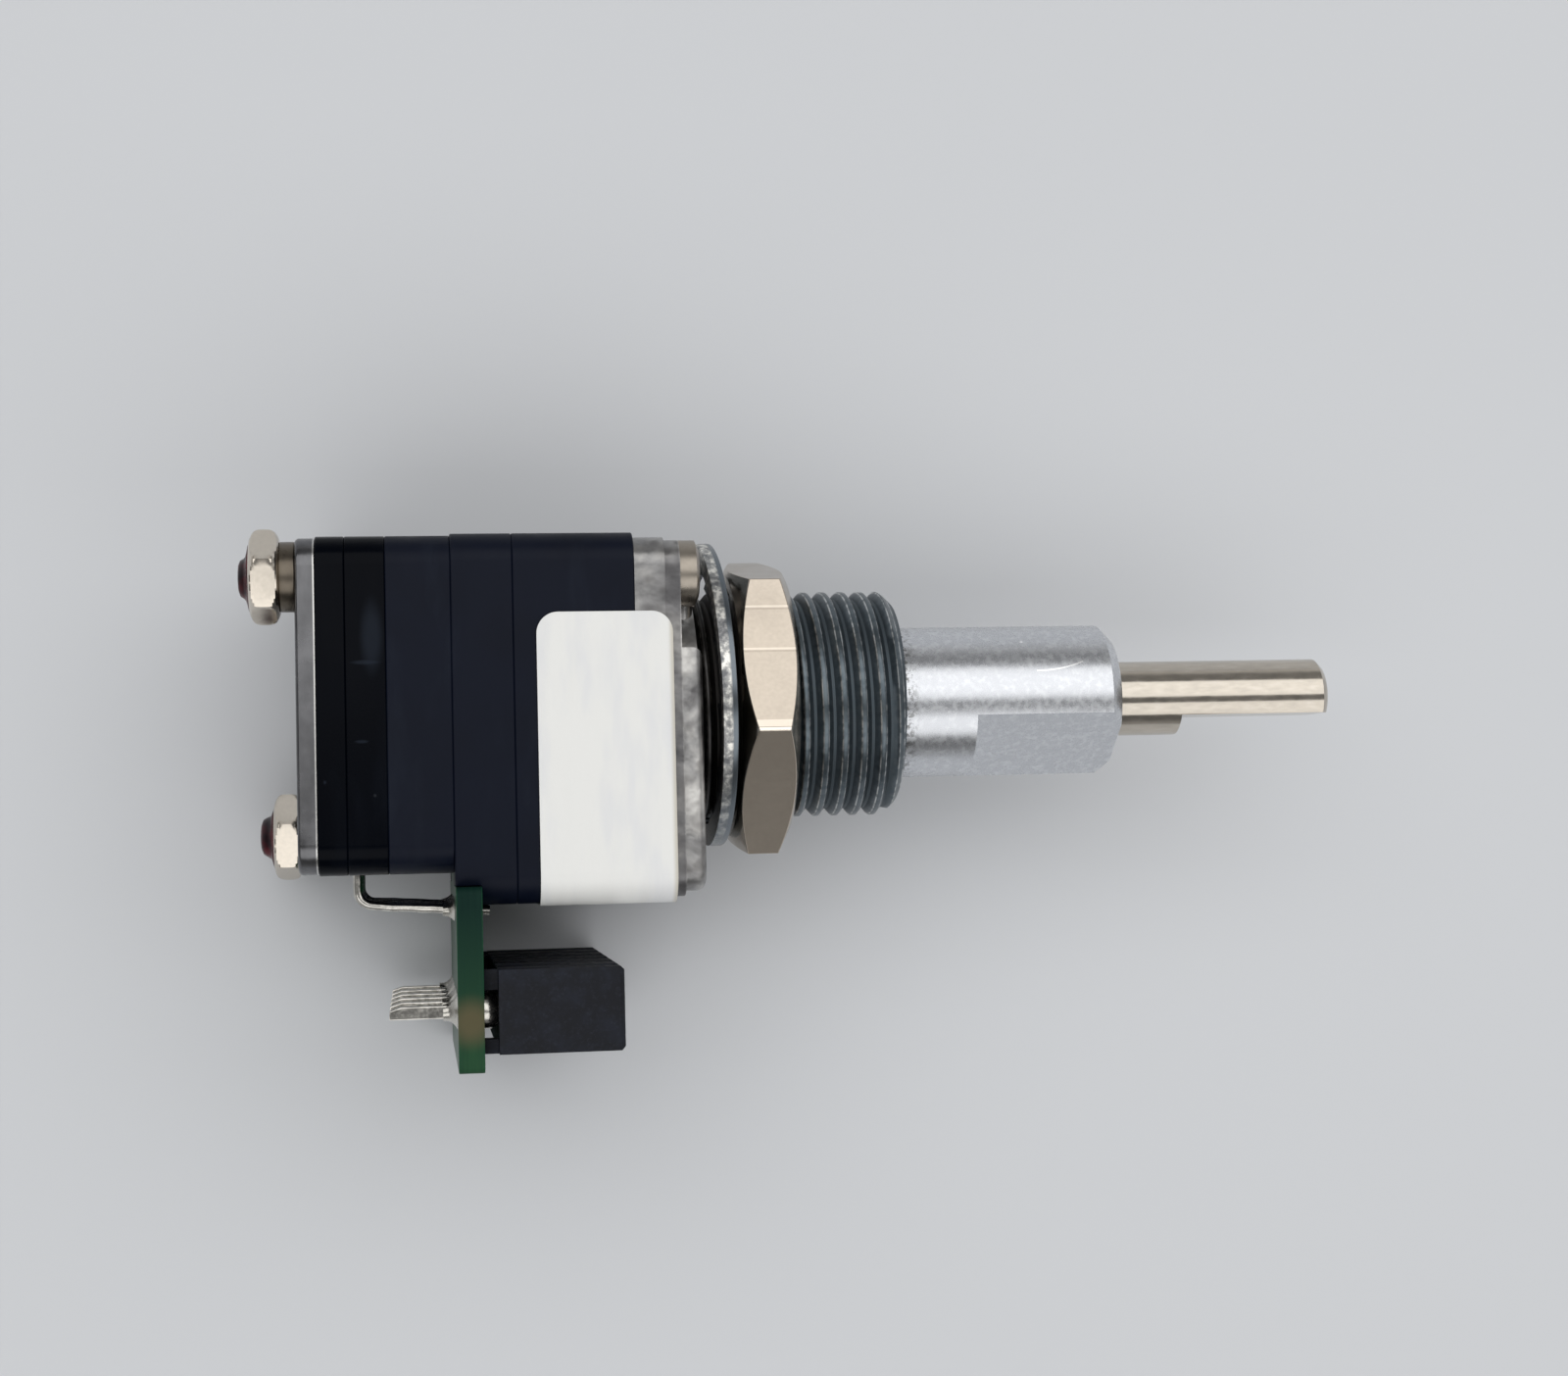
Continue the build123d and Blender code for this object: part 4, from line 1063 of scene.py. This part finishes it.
@dataclass
class Casting:
    """The zinc bushing housing: flange, pad and threaded bushing."""

    thread_radius: float = 4.725
    pitch: float = 25.4 / 32
    thread_depth: float = 0.31
    crest_flat: float = 0.25
    root_flat: float = 0.12
    crest_round: float = 0.045
    length: float = 8.60
    chamfer: float = 0.45
    bore: float = 3.04
    edge_round: float = 0.16
    thread_steps: int = 72
    weld: float = 0.004
    end_trim: float = 0.01
    cut: float = 0.02
    flange_front: float = -0.5
    boss_radius: float = 5.2
    sleeve_gap: float = 0.02
    # Corners past the bushing's end and over its bore or rim: station and radius.
    lead_in: tuple[Point, ...] = ((-0.2, 0.0), (-0.03, 0.17), (0.0, 0.22))
    face_edge: tuple[Point, ...] = ((0.0, -0.06), (-0.03, 0.0))
    dent_size: float = 1 / 1.3
    dent_from: float = 0.35
    dent_depth: float = 0.12

    def body(self) -> bmesh.types.BMesh:
        """Cut the flange and pad off where the bushing leaves them.

        Returns:
            The flange and pad, capped at the cut.
        """
        bm = skin_of("bushing_housing")
        bmesh.ops.bridge_loops(bm, edges=slice_off(bm, self.cut, Drop.AHEAD))
        soften(bm, self.edge_round, segments=3,
               keep=lambda p: p.x < self.flange_front and p.yz.length > self.boss_radius)
        return bm

    def thread(self) -> bmesh.types.BMesh:
        """Screw one pitch of thread profile along the bushing and trim both ends.

        Returns:
            The thread's skin, open at both ends, where the sleeve and the pad close it.
        """
        bm = bmesh.new()
        root = self.thread_radius - self.thread_depth
        crest = self.thread_radius
        flank = (self.pitch - self.crest_flat - self.root_flat) / 2
        rise = self.root_flat / 2
        top = rise + flank
        ease = self.crest_round
        shape = [(0.0, root), (rise, root), (top, crest - ease), (top + ease, crest),
                 (top + self.crest_flat - ease, crest), (top + self.crest_flat, crest - ease),
                 (self.pitch - rise, root), (self.pitch, root)]
        profile = [(x - self.pitch, r) for x, r in shape]
        verts = [bm.verts.new(Vector((x, 0, r)) * MM) for x, r in profile]
        edges = [bm.edges.new(pair) for pair in zip(verts, verts[1:])]
        turns = int(self.length / self.pitch) + 3
        bmesh.ops.spin(bm, geom=verts + edges, cent=(0, 0, 0), axis=X_AXIS, angle=tau * turns,
                       steps=self.thread_steps * turns,
                       dvec=X_AXIS * (self.pitch * MM / self.thread_steps))
        bmesh.ops.remove_doubles(bm, verts=bm.verts, dist=self.weld * MM)
        slice_off(bm, 0.0, Drop.BEHIND)
        slice_off(bm, self.length - self.end_trim, Drop.AHEAD)
        for vert in bm.verts:
            self.trim(vert)
        bmesh.ops.recalc_face_normals(bm, faces=bm.faces)
        return bm

    def trim(self, vert: bmesh.types.BMVert) -> None:
        """Keep a thread vertex inside the front chamfer and knock small dents in the crests.

        Args:
            vert: The vertex.
        """
        radius = vert.co.yz.length
        spare = self.length - vert.co.x / MM
        limit = self.thread_radius - max(0.0, self.chamfer - spare)
        wave = noise.noise(vert.co / (MM * self.dent_size))
        dent = max(0.0, wave - self.dent_from) * self.dent_depth
        wanted = min(radius, (limit - dent) * MM)
        vert.co.y *= wanted / radius
        vert.co.z *= wanted / radius

    def sleeve(self) -> bmesh.types.BMesh:
        """Turn the bore, its lead-in and the flat ring at the bushing's end.

        Returns:
            The closed sleeve that carries the thread.
        """
        rim = self.thread_radius - self.chamfer - self.sleeve_gap
        profile = [(0.0, self.bore)]
        profile += [(self.length + x, self.bore + r) for x, r in self.lead_in]
        profile += [(self.length + x, rim + r) for x, r in self.face_edge]
        return spin_profile(profile + [(0.0, rim)], self.thread_steps, closed=True)

    def build(self) -> None:
        """Make the casting's two pieces."""
        put(self.body(), "casting_flange", Body.HOUSING, Palette.ZINC, ["bushing_housing"])
        put(merge([self.thread(), self.sleeve()]), "bushing_thread", Body.HOUSING,
            Palette.THREAD, crease=50)


@dataclass
class PanelFastening:
    """The nut and the internal-tooth washer on the bushing."""

    nut_round: float = 0.28
    nut_waist: float = 5.3
    washer_round: float = 0.07
    tooth_root: float = 5.4
    tooth_tip: float = 5.225
    tooth_twist: float = 0.30
    teeth: int = 12
    washer_turn: tuple[float, float] = (1.75, 1.7)
    washer_centre: tuple[float, float, float] = (0.55, 0.46, 0.0)

    def washer(self) -> bmesh.types.BMesh:
        """Twist each tooth of the CAD washer out of its plane.

        Returns:
            The washer.
        """
        bm = skin_of("lock_washer")
        soften(bm, self.washer_round, angle=50)
        tip, lean = (radians(angle) for angle in self.washer_turn)
        upright = (Matrix.Rotation(tip, 3, "Y") @ Matrix.Rotation(lean, 3, "Z")).inverted()
        centre = Vector(self.washer_centre)
        for vert in bm.verts:
            local = upright @ (vert.co / MM - centre)
            inward = (self.tooth_root - local.yz.length) / (self.tooth_root - self.tooth_tip)
            if inward <= 0:
                continue
            step = tau / self.teeth
            angle = Vector((local.y, local.z)).angle_signed(Vector((1, 0)), 0.0)
            across = ((angle + step) % step) / step - 0.5
            vert.co.x += inward * across * self.tooth_twist * MM
        return bm

    def build(self) -> None:
        """Make the nut, its ridges eased as plating and handling leave them, and the washer."""
        reskin("panel_nut", "bushing_nut", Palette.NUT, self.nut_round, angle=14, segments=4,
               crease=30, keep=lambda p: p.yz.length > self.nut_waist)
        put(self.washer(), "tooth_washer", Body.HOUSING, Palette.RIM, ["lock_washer"])


@dataclass
class Shafts:
    """The outer and inner shafts."""

    edge_round: float = 0.035
    outer_from: float = 8.0
    inner_from: float = 18.0

    def build(self) -> None:
        """Make both shafts, with the sharp edges that show just broken."""
        reskin("outer_shaft", "outer_spindle", Palette.ALUMINIUM, self.edge_round,
               body=Body.OUTER, keep=lambda p: p.x > self.outer_from)
        reskin("inner_shaft", "inner_spindle", Palette.STAINLESS, self.edge_round,
               body=Body.INNER, keep=lambda p: p.x > self.inner_from)


@dataclass
class Stack:
    """The moulded body, its rear plate and the long screws that hold it together."""

    seam_round: float = 0.015
    shell_reach: float = 6.3
    plate_reach: float = 6.0
    hardware_round: float = 0.05
    washer_round: float = 0.04
    label_round: float = 0.02
    head_radius: float = 1.33
    head_round: float = 0.24
    head_edge: float = 1.25
    nut_flats: float = 3.27
    nut_corner: float = 1.88
    nut_drop: float = 0.40
    nut_turn: float = 43.0
    nut_rings: int = 20
    nut_cuts: int = 11
    film: float = 1.42
    # Corners from the film's foot: station and radius. The crown's are shares of the dab's rise
    # and radius.
    film_edge: tuple[Point, ...] = ((0.0, 0.0), (-0.07, -0.02), (-0.13, -0.25))
    dab: float = 0.88
    dab_foot: Point = (-0.19, 0.10)
    dab_crown: tuple[Point, ...] = ((0.55, 1.0), (0.80, 0.9), (0.95, 0.66), (1.0, 0.3))
    dab_wave: float = 0.16
    dab_sink: float = 0.03
    dab_steps: int = 32
    short_tip: float = 0.13
    mouldings: dict[str, Palette] = field(default_factory=lambda: {
        "front_housing": Palette.MOULDING, "board_housing": Palette.MOULDING,
        "middle_housing": Palette.MOULDING, "sensor_housing": Palette.CAP,
        "rear_cap": Palette.CAP})

    def shells(self) -> None:
        """The five mouldings, with their corners eased as moulds leave them."""
        for node, finish in self.mouldings.items():
            reskin(node, node + "_shell", finish, self.seam_round, angle=25,
                   keep=lambda p: max(abs(p.y), abs(p.z)) > self.shell_reach)

    def axes(self) -> tuple[Point, Point]:
        """Find the axes of the two screws from the reach of their heads.

        Returns:
            Their Y and Z, the spacer's first.
        """
        low, high = place_of("stack_screws")
        inset = self.head_radius
        return ((high.y - inset, high.z - inset), (low.y + inset, low.z + inset))

    def on_head(self, point: Vector) -> bool:
        """Tell whether a point lies out at the edge of a screw head.

        Args:
            point: The point, in millimetres.

        Returns:
            True if it does.
        """
        return min((point.yz - Vector(axis)).length for axis in self.axes()) > self.head_edge

    def small_nut(self, x: float, thick: float, y: float, z: float) -> bmesh.types.BMesh:
        """Draw a hexagon out along X and turn its corners down in an arc.

        Args:
            x: Station of its rear face.
            thick: Its thickness.
            y: Its axis's Y.
            z: Its axis's Z.

        Returns:
            A closed nut; the screw and the lacquer fill its hole.
        """
        bm = bmesh.new()
        # Lays the circle, which is made flat, across the shafts.
        to_yz = Matrix(((0, 0, 1, 0), (1, 0, 0, 0), (0, 1, 0, 0), (0, 0, 0, 1)))
        stand = Matrix.Translation(Vector((x, y, z)) * MM)
        bmesh.ops.create_circle(bm, segments=6, radius=self.nut_flats / 2 / cos(pi / 6) * MM,
                                matrix=stand @ Matrix.Rotation(radians(self.nut_turn), 4, "X")
                                @ to_yz)
        bmesh.ops.subdivide_edges(bm, edges=bm.edges, cuts=self.nut_cuts)
        ring = list(bm.edges)
        for _ in range(self.nut_rings):
            ring = drag(bm, ring, X_AXIS * (thick / self.nut_rings * MM))
        centre = Vector((y, z)) * MM
        for vert in bm.verts:
            share = abs(vert.co.x / MM - x - thick / 2) / (thick / 2)
            limit = (self.nut_corner - self.nut_drop * share ** 4) * MM
            arm = vert.co.yz - centre
            if arm.length > limit:
                vert.co.yz = centre + arm * (limit / arm.length)
        return close(bm)

    def hardware(self) -> None:
        """Rear plate, spacer, washer, screws and nuts."""
        reskin("rear_plate", "back_plate", Palette.PLATE, self.hardware_round,
               keep=lambda p: max(abs(p.y), abs(p.z)) > self.plate_reach)
        reskin("stack_spacer", "standoff", Palette.STANDOFF, self.hardware_round, angle=24,
               crease=30)
        reskin("stack_washer", "split_washer", Palette.SPRING, self.washer_round, angle=24,
               crease=30)
        reskin("stack_screws", "long_screws", Palette.SCREW, self.head_round, angle=24,
               segments=4, crease=50, keep=self.on_head)
        rear = place_of("stack_nuts")[0].x
        thick = place_of("stack_spacer")[0].x - rear
        fronts = (place_of("stack_spacer")[0].x, place_of("stack_washer")[0].x)
        nuts = [self.small_nut(front - thick, thick, *axis)
                for front, axis in zip(fronts, self.axes())]
        put(merge(nuts), "small_nuts", Body.HOUSING, Palette.NICKEL, ["stack_nuts"], crease=16)

    def lacquer(self) -> None:
        """Two uneven dabs of lacquer that cover the screw tips and run out over the nuts."""
        low = place_of("lacquer_dabs")[0]
        nuts = place_of("stack_nuts")[0].x
        thick = place_of("stack_spacer")[0].x - nuts
        feet = (nuts, place_of("stack_washer")[0].x - thick)
        tips = (low.x, low.x + self.short_tip)
        dabs = []
        for foot, tip, (y, z) in zip(feet, tips, self.axes()):
            foot += self.dab_sink
            profile = [(foot, 0.0)] + [(foot + x, self.film + r) for x, r in self.film_edge]
            profile.append((foot + self.dab_foot[0], self.dab + self.dab_foot[1]))
            profile += [(foot + (tip - foot) * share, self.dab * width)
                        for share, width in self.dab_crown]
            dab = spin_profile(profile + [(tip, 0.0)], self.dab_steps, (y, z))
            for vert in dab.verts:
                side = Vector((0, vert.co.y - y * MM, vert.co.z - z * MM))
                wave = noise.noise(vert.co / MM * 1.1 + Vector((foot, 0, 0)))
                vert.co += side * self.dab_wave * (wave - 0.5)
            dabs.append(dab)
        put(merge(dabs), "lacquer_dabs_wet", Body.HOUSING, Palette.LACQUER, ["lacquer_dabs"],
            crease=80)

    def build(self) -> None:
        """Make the whole stack."""
        self.shells()
        self.hardware()
        self.lacquer()
        reskin("label", "blank_label", Palette.LABEL, self.label_round)


@dataclass
class BoardAssembly:
    """The circuit board with its socket, pins, leads and solder."""

    pin_pitch: float = 2.54
    pin_count: int = 6
    lead_count: int = 4
    lead_half: float = 0.19
    lead_swell: float = 1.07
    lead_turn: float = -7.85
    lead_bend: float = 0.62
    lead_facets: int = 8
    bend_steps: int = 8
    lead_steps: int = 12
    lead_wave: float = 0.07
    lead_joint: float = -8.11
    # Reach from the board, radius on it and, for a fillet, radius on the pin.
    lead_fillet: tuple[float, float, float] = (-0.45, 0.49, 0.25)
    pin_fillet: tuple[float, float, float] = (-0.55, 0.70, 0.32)
    pin_dome: Point = (0.60, 0.72)
    joint_wave: float = 0.10
    near: float = 0.01
    fillet_hollow: float = 2.4
    dome_neck: float = 0.35
    curve_steps: int = 6
    fillet_steps: int = 20

    def lead_rows(self) -> list[float]:
        """Space the leads evenly over their CAD node.

        Returns:
            The Z of each lead.
        """
        low, high = place_of("rear_sensor_leads")
        first, last = low.z + self.lead_half, high.z - self.lead_half
        return [first + (last - first) * i / (self.lead_count - 1)
                for i in range(self.lead_count)]

    def lead(self, z: float) -> bmesh.types.BMesh:
        """Draw a lead down out of the body, round its bend and along to the board.

        Args:
            z: Its Z.

        Returns:
            A closed lead with a slight waviness.
        """
        low, high = place_of("rear_sensor_leads")
        x, top = low.x + self.lead_half, high.y
        fall = self.lead_turn - (low.y + self.lead_half)
        slope = Vector((high.x - x, -fall, 0)).normalized()
        turn = pi / 2 - atan2(fall, high.x - x)
        bm = bmesh.new()
        stand = Matrix.Translation(Vector((x, top, z)) * MM)
        lie = Matrix.Rotation(pi / 2, 4, "X") @ Matrix.Rotation(pi / self.lead_facets, 4, "Z")
        bmesh.ops.create_circle(bm, segments=self.lead_facets, matrix=stand @ lie,
                                radius=self.lead_half * self.lead_swell * MM)
        start = self.lead_turn + self.lead_bend * tan(turn / 2)
        ring = drag(bm, list(bm.edges), Vector((0, start - top, 0)) * MM)
        ends = list(dict.fromkeys(v for e in ring for v in e.verts))
        spun = bmesh.ops.spin(bm, geom=ring + ends, axis=(0, 0, 1), angle=turn,
                              steps=self.bend_steps,
                              cent=Vector((x + self.lead_bend, start, z)) * MM)["geom_last"]
        ring = [e for e in spun if isinstance(e, bmesh.types.BMEdge)]
        after = x + self.lead_bend * (1 - cos(turn))
        for _ in range(self.lead_steps):
            ring = drag(bm, ring, slope * ((high.x - after) / slope.x / self.lead_steps * MM))
        for vert in bm.verts:
            wave = noise.noise(Vector((vert.co.x / MM * 1.1, z * 3, vert.co.y / MM)))
            along = (vert.co.x / MM - x) / (high.x - x)
            free = max(0.0, sin(pi * min(1.0, max(0.0, along))))
            vert.co.y += self.lead_wave * wave * free * MM
        return close(bm)

    def fillet(self, x: float, reach: float, foot: float, top: float,
               centre: Point) -> bmesh.types.BMesh:
        """Solder drawn up a pin in a hollow curve.

        Args:
            x: Station of the board's face.
            reach: How far it climbs, negative behind the board.
            foot: Radius on the board.
            top: Radius where it ends on the pin.
            centre: The pin's Y and Z.

        Returns:
            A closed mesh.
        """
        shares = [i / self.curve_steps for i in range(self.curve_steps + 1)]
        profile = [(x, 0.0)]
        profile += [(x + reach * s, top + (foot - top) * (1 - s) ** self.fillet_hollow)
                    for s in shares]
        profile += [(x + reach * 1.04, 0.0)]
        return spin_profile(profile, self.fillet_steps, centre)

    def dome(self, x: float, reach: float, foot: float, centre: Point) -> bmesh.types.BMesh:
        """Solder heaped up round a pin.

        Args:
            x: Station of the board's face.
            reach: How high it stands.
            foot: Radius on the board.
            centre: The pin's Y and Z.

        Returns:
            A closed mesh.
        """
        turns = [pi / 2 * i / self.curve_steps for i in range(self.curve_steps + 1)]
        neck = self.dome_neck
        profile = [(x, 0.0)]
        profile += [(x + reach * sin(t), foot * (neck + (1 - neck) * cos(t))) for t in turns]
        return spin_profile(profile + [(x + reach, 0.0)], self.fillet_steps, centre)

    def solder(self) -> bmesh.types.BMesh:
        """Put a joint on both faces round every pin, and behind the board round every lead.

        Returns:
            All joints, with the unevenness of hand soldering.
        """
        board_low, board_high = place_of("circuit_board")
        back, front = board_low.x, board_high.x
        gap = place_of("header_pins")
        y = (gap[0].y + gap[1].y) / 2
        joints = []
        for i in range(self.pin_count):
            z = (i - (self.pin_count - 1) / 2) * self.pin_pitch
            joints.append(self.fillet(back, *self.pin_fillet, (y, z)))
            joints.append(self.dome(front, *self.pin_dome, (y, z)))
        for z in self.lead_rows():
            joints.append(self.fillet(back, *self.lead_fillet, (self.lead_joint, z)))
        whole = merge(joints)
        for vert in whole.verts:
            where = vert.co / MM
            inside = back + self.near < where.x < front - self.near
            if inside or abs(where.x - back) < self.near:
                continue
            vert.co.y += self.joint_wave * noise.noise(where * 0.9) * MM
        return whole

    def build(self) -> None:
        """Make the board's pieces."""
        for node, name, width, finish in (
                ("circuit_board", "green_board", 0.03, Palette.BOARD),
                ("connector_housing", "socket_body", 0.06, Palette.SOCKET),
                ("header_pins", "socket_pins", 0.05, Palette.TIN)):
            reskin(node, name, finish, width, angle=35)
        leads = merge([self.lead(z) for z in self.lead_rows()])
        put(leads, "bent_leads", Body.HOUSING, Palette.TIN, ["rear_sensor_leads"], crease=60)
        put(self.solder(), "solder_fillets", Body.HOUSING, Palette.SOLDER, ["solder_joints"],
            crease=70)


@dataclass
class Mechanism:
    """What lies inside the closed body, which keeps its CAD meshes."""

    finishes: dict[str, Palette] = field(default_factory=lambda: {
        "outer_detent_wheel": Palette.ACETAL, "inner_detent_wheel": Palette.ACETAL,
        "outer_detent_spring": Palette.SPRING, "inner_detent_spring": Palette.SPRING,
        "outer_shaft_clip": Palette.SPRING, "inner_shaft_clip": Palette.SPRING,
        "outer_code_disc": Palette.DISC, "inner_code_disc": Palette.DISC,
        "front_sensor": Palette.EPOXY, "rear_sensor": Palette.EPOXY,
        "front_sensor_leads": Palette.TIN})

    def build(self) -> None:
        """Dress each hidden piece."""
        for node, finish in self.finishes.items():
            dress(node, finish)


# --- studio -----------------------------------------------------------------------------------


@dataclass
class Studio:
    """Pale floor, soft light and the camera."""

    focal: float = 56.25
    sensor: float = 36.0
    eye: tuple[float, float, float] = (-11.37268, -4.91927, 102.30794)
    right: tuple[float, float, float] = (0.98855746, -0.02464631, 0.14881771)
    up: tuple[float, float, float] = (0.01625502, 0.99822227, 0.05734181)
    back: tuple[float, float, float] = (-0.14996642, -0.05426664, 0.98720069)
    floor_colour: str = "CBCDD0"
    floor_radius: float = 1.2
    floor_gap: float = 0.0002
    lamp_height: float = 0.42
    lamp_length: float = 1.0
    lamp_shift: float = 0.05
    # Name, tilt, spread and radiance of each lamp.
    lamps: tuple[tuple[str, float, float, float], ...] = (
        ("north_box", 26.0, 24.5, 1.28), ("south_box", -36.0, 19.0, 1.18))
    fill: float = 0.34
    # Height of the sight line, from level to straight up, and the room's brightness there.
    room_shades: tuple[Point, ...] = ((0.0, 0.60), (0.12, 0.50), (0.28, 0.24), (1.0, 0.22))
    board_side: float = 0.6

    def camera(self) -> None:
        """Stand the camera above the object, with its axes given as right, up and back."""
        data = bpy.data.cameras.new("view")
        data.lens, data.sensor_width, data.sensor_fit = self.focal, self.sensor, "HORIZONTAL"
        data.clip_start, data.clip_end = 0.001, 10
        camera = new_object("view", data)
        turn = Matrix((self.right, self.up, self.back)).transposed().to_4x4()
        camera.matrix_world = Matrix.Translation(Vector(self.eye) * MM) @ turn
        bpy.context.scene.camera = camera

    def floor(self) -> None:
        """A pale board under the object, its edge far outside the view."""
        bm = bmesh.new()
        bmesh.ops.create_circle(bm, cap_ends=True, segments=64, radius=self.floor_radius)
        mesh = bpy.data.meshes.new("floor")
        bm.to_mesh(mesh)
        bm.free()
        floor = new_object("floor", mesh)
        floor.location.z = CAD_BOX[0].z - self.floor_gap
        paint = bpy.data.materials.new("pale_floor")
        paint.use_nodes = True
        shader = paint.node_tree.nodes["Principled BSDF"]
        shader.inputs["Base Color"].default_value = linear(self.floor_colour)
        shader.inputs["Roughness"].default_value = 0.7
        mesh.materials.append(paint)

    def lamp(self, name: str, tilt: float, spread: float, radiance: float) -> None:
        """Hang a long soft box over the shafts, facing them.

        Args:
            name: The lamp's name.
            tilt: Its middle, in degrees from straight up toward +Y.
            spread: How many degrees it covers to each side of its middle.
            radiance: How bright its face is, where 1 is white.
        """
        data = bpy.data.lights.new(name, "AREA")
        width = 2 * self.lamp_height * tan(radians(spread))
        data.shape, data.size, data.size_y = "RECTANGLE", self.lamp_length, width
        data.energy = radiance * pi * self.lamp_length * width
        lamp = new_object(name, data)
        turn = Matrix.Rotation(radians(-tilt), 4, "X")
        lamp.matrix_world = turn @ Matrix.Translation((self.lamp_shift, 0, self.lamp_height))
        lamp.visible_camera = False

    def sky(self) -> None:
        """A pale room that the camera and shiny pieces see, dimmer overhead than at eye level."""
        world = bpy.data.worlds.new("room")
        bpy.context.scene.world = world
        world.use_nodes = True
        tree = world.node_tree
        aim = add(tree, "TexCoord", out="Generated")
        side, height = (add(tree, "SeparateXYZ", {0: aim}, axis) for axis in "YZ")
        shade = add(tree, "ValToRGB", {"Fac": height}, stops=self.room_shades)
        dim = add(tree, "MapRange", {"Value": side, 1: -0.9, 2: 0.2, 3: self.board_side, 4: 1.0})
        room = add(tree, "Mix", {0: 1.0, 6: shade, 7: dim}, 2, blend_type="MULTIPLY", **COLOURS)
        seen = add(tree, "Background", {"Color": room})
        soft = add(tree, "Background", {"Color": (1.0, 1.0, 1.0, 1.0), "Strength": self.fill})
        camera, gloss, through = (add(tree, "LightPath", out=f"Is {ray} Ray")
                                  for ray in ("Camera", "Glossy", "Transmission"))
        either = add(tree, "Math", {0: camera, 1: gloss}, operation="MAXIMUM")
        any_of = add(tree, "Math", {0: either, 1: through}, operation="MAXIMUM")
        mix = add(tree, "MixShader", {0: any_of, 1: soft, 2: seen})
        tree.links.new(mix, tree.nodes["World Output"].inputs["Surface"])

    def build(self) -> None:
        """Set the whole studio up."""
        self.camera()
        self.floor()
        self.sky()
        for name, tilt, spread, radiance in self.lamps:
            self.lamp(name, tilt, spread, radiance)
        bpy.context.scene.view_settings.view_transform = "Standard"


def main() -> None:
    """Build the studio and every sub-assembly."""
    logging.basicConfig(level=logging.INFO, format="%(message)s")
    Studio().build()
    for part in (Casting(), PanelFastening(), Shafts(), Stack(), BoardAssembly(), Mechanism()):
        log.info("building %s", type(part).__name__)
        part.build()


if __name__ == "__main__":
    main()
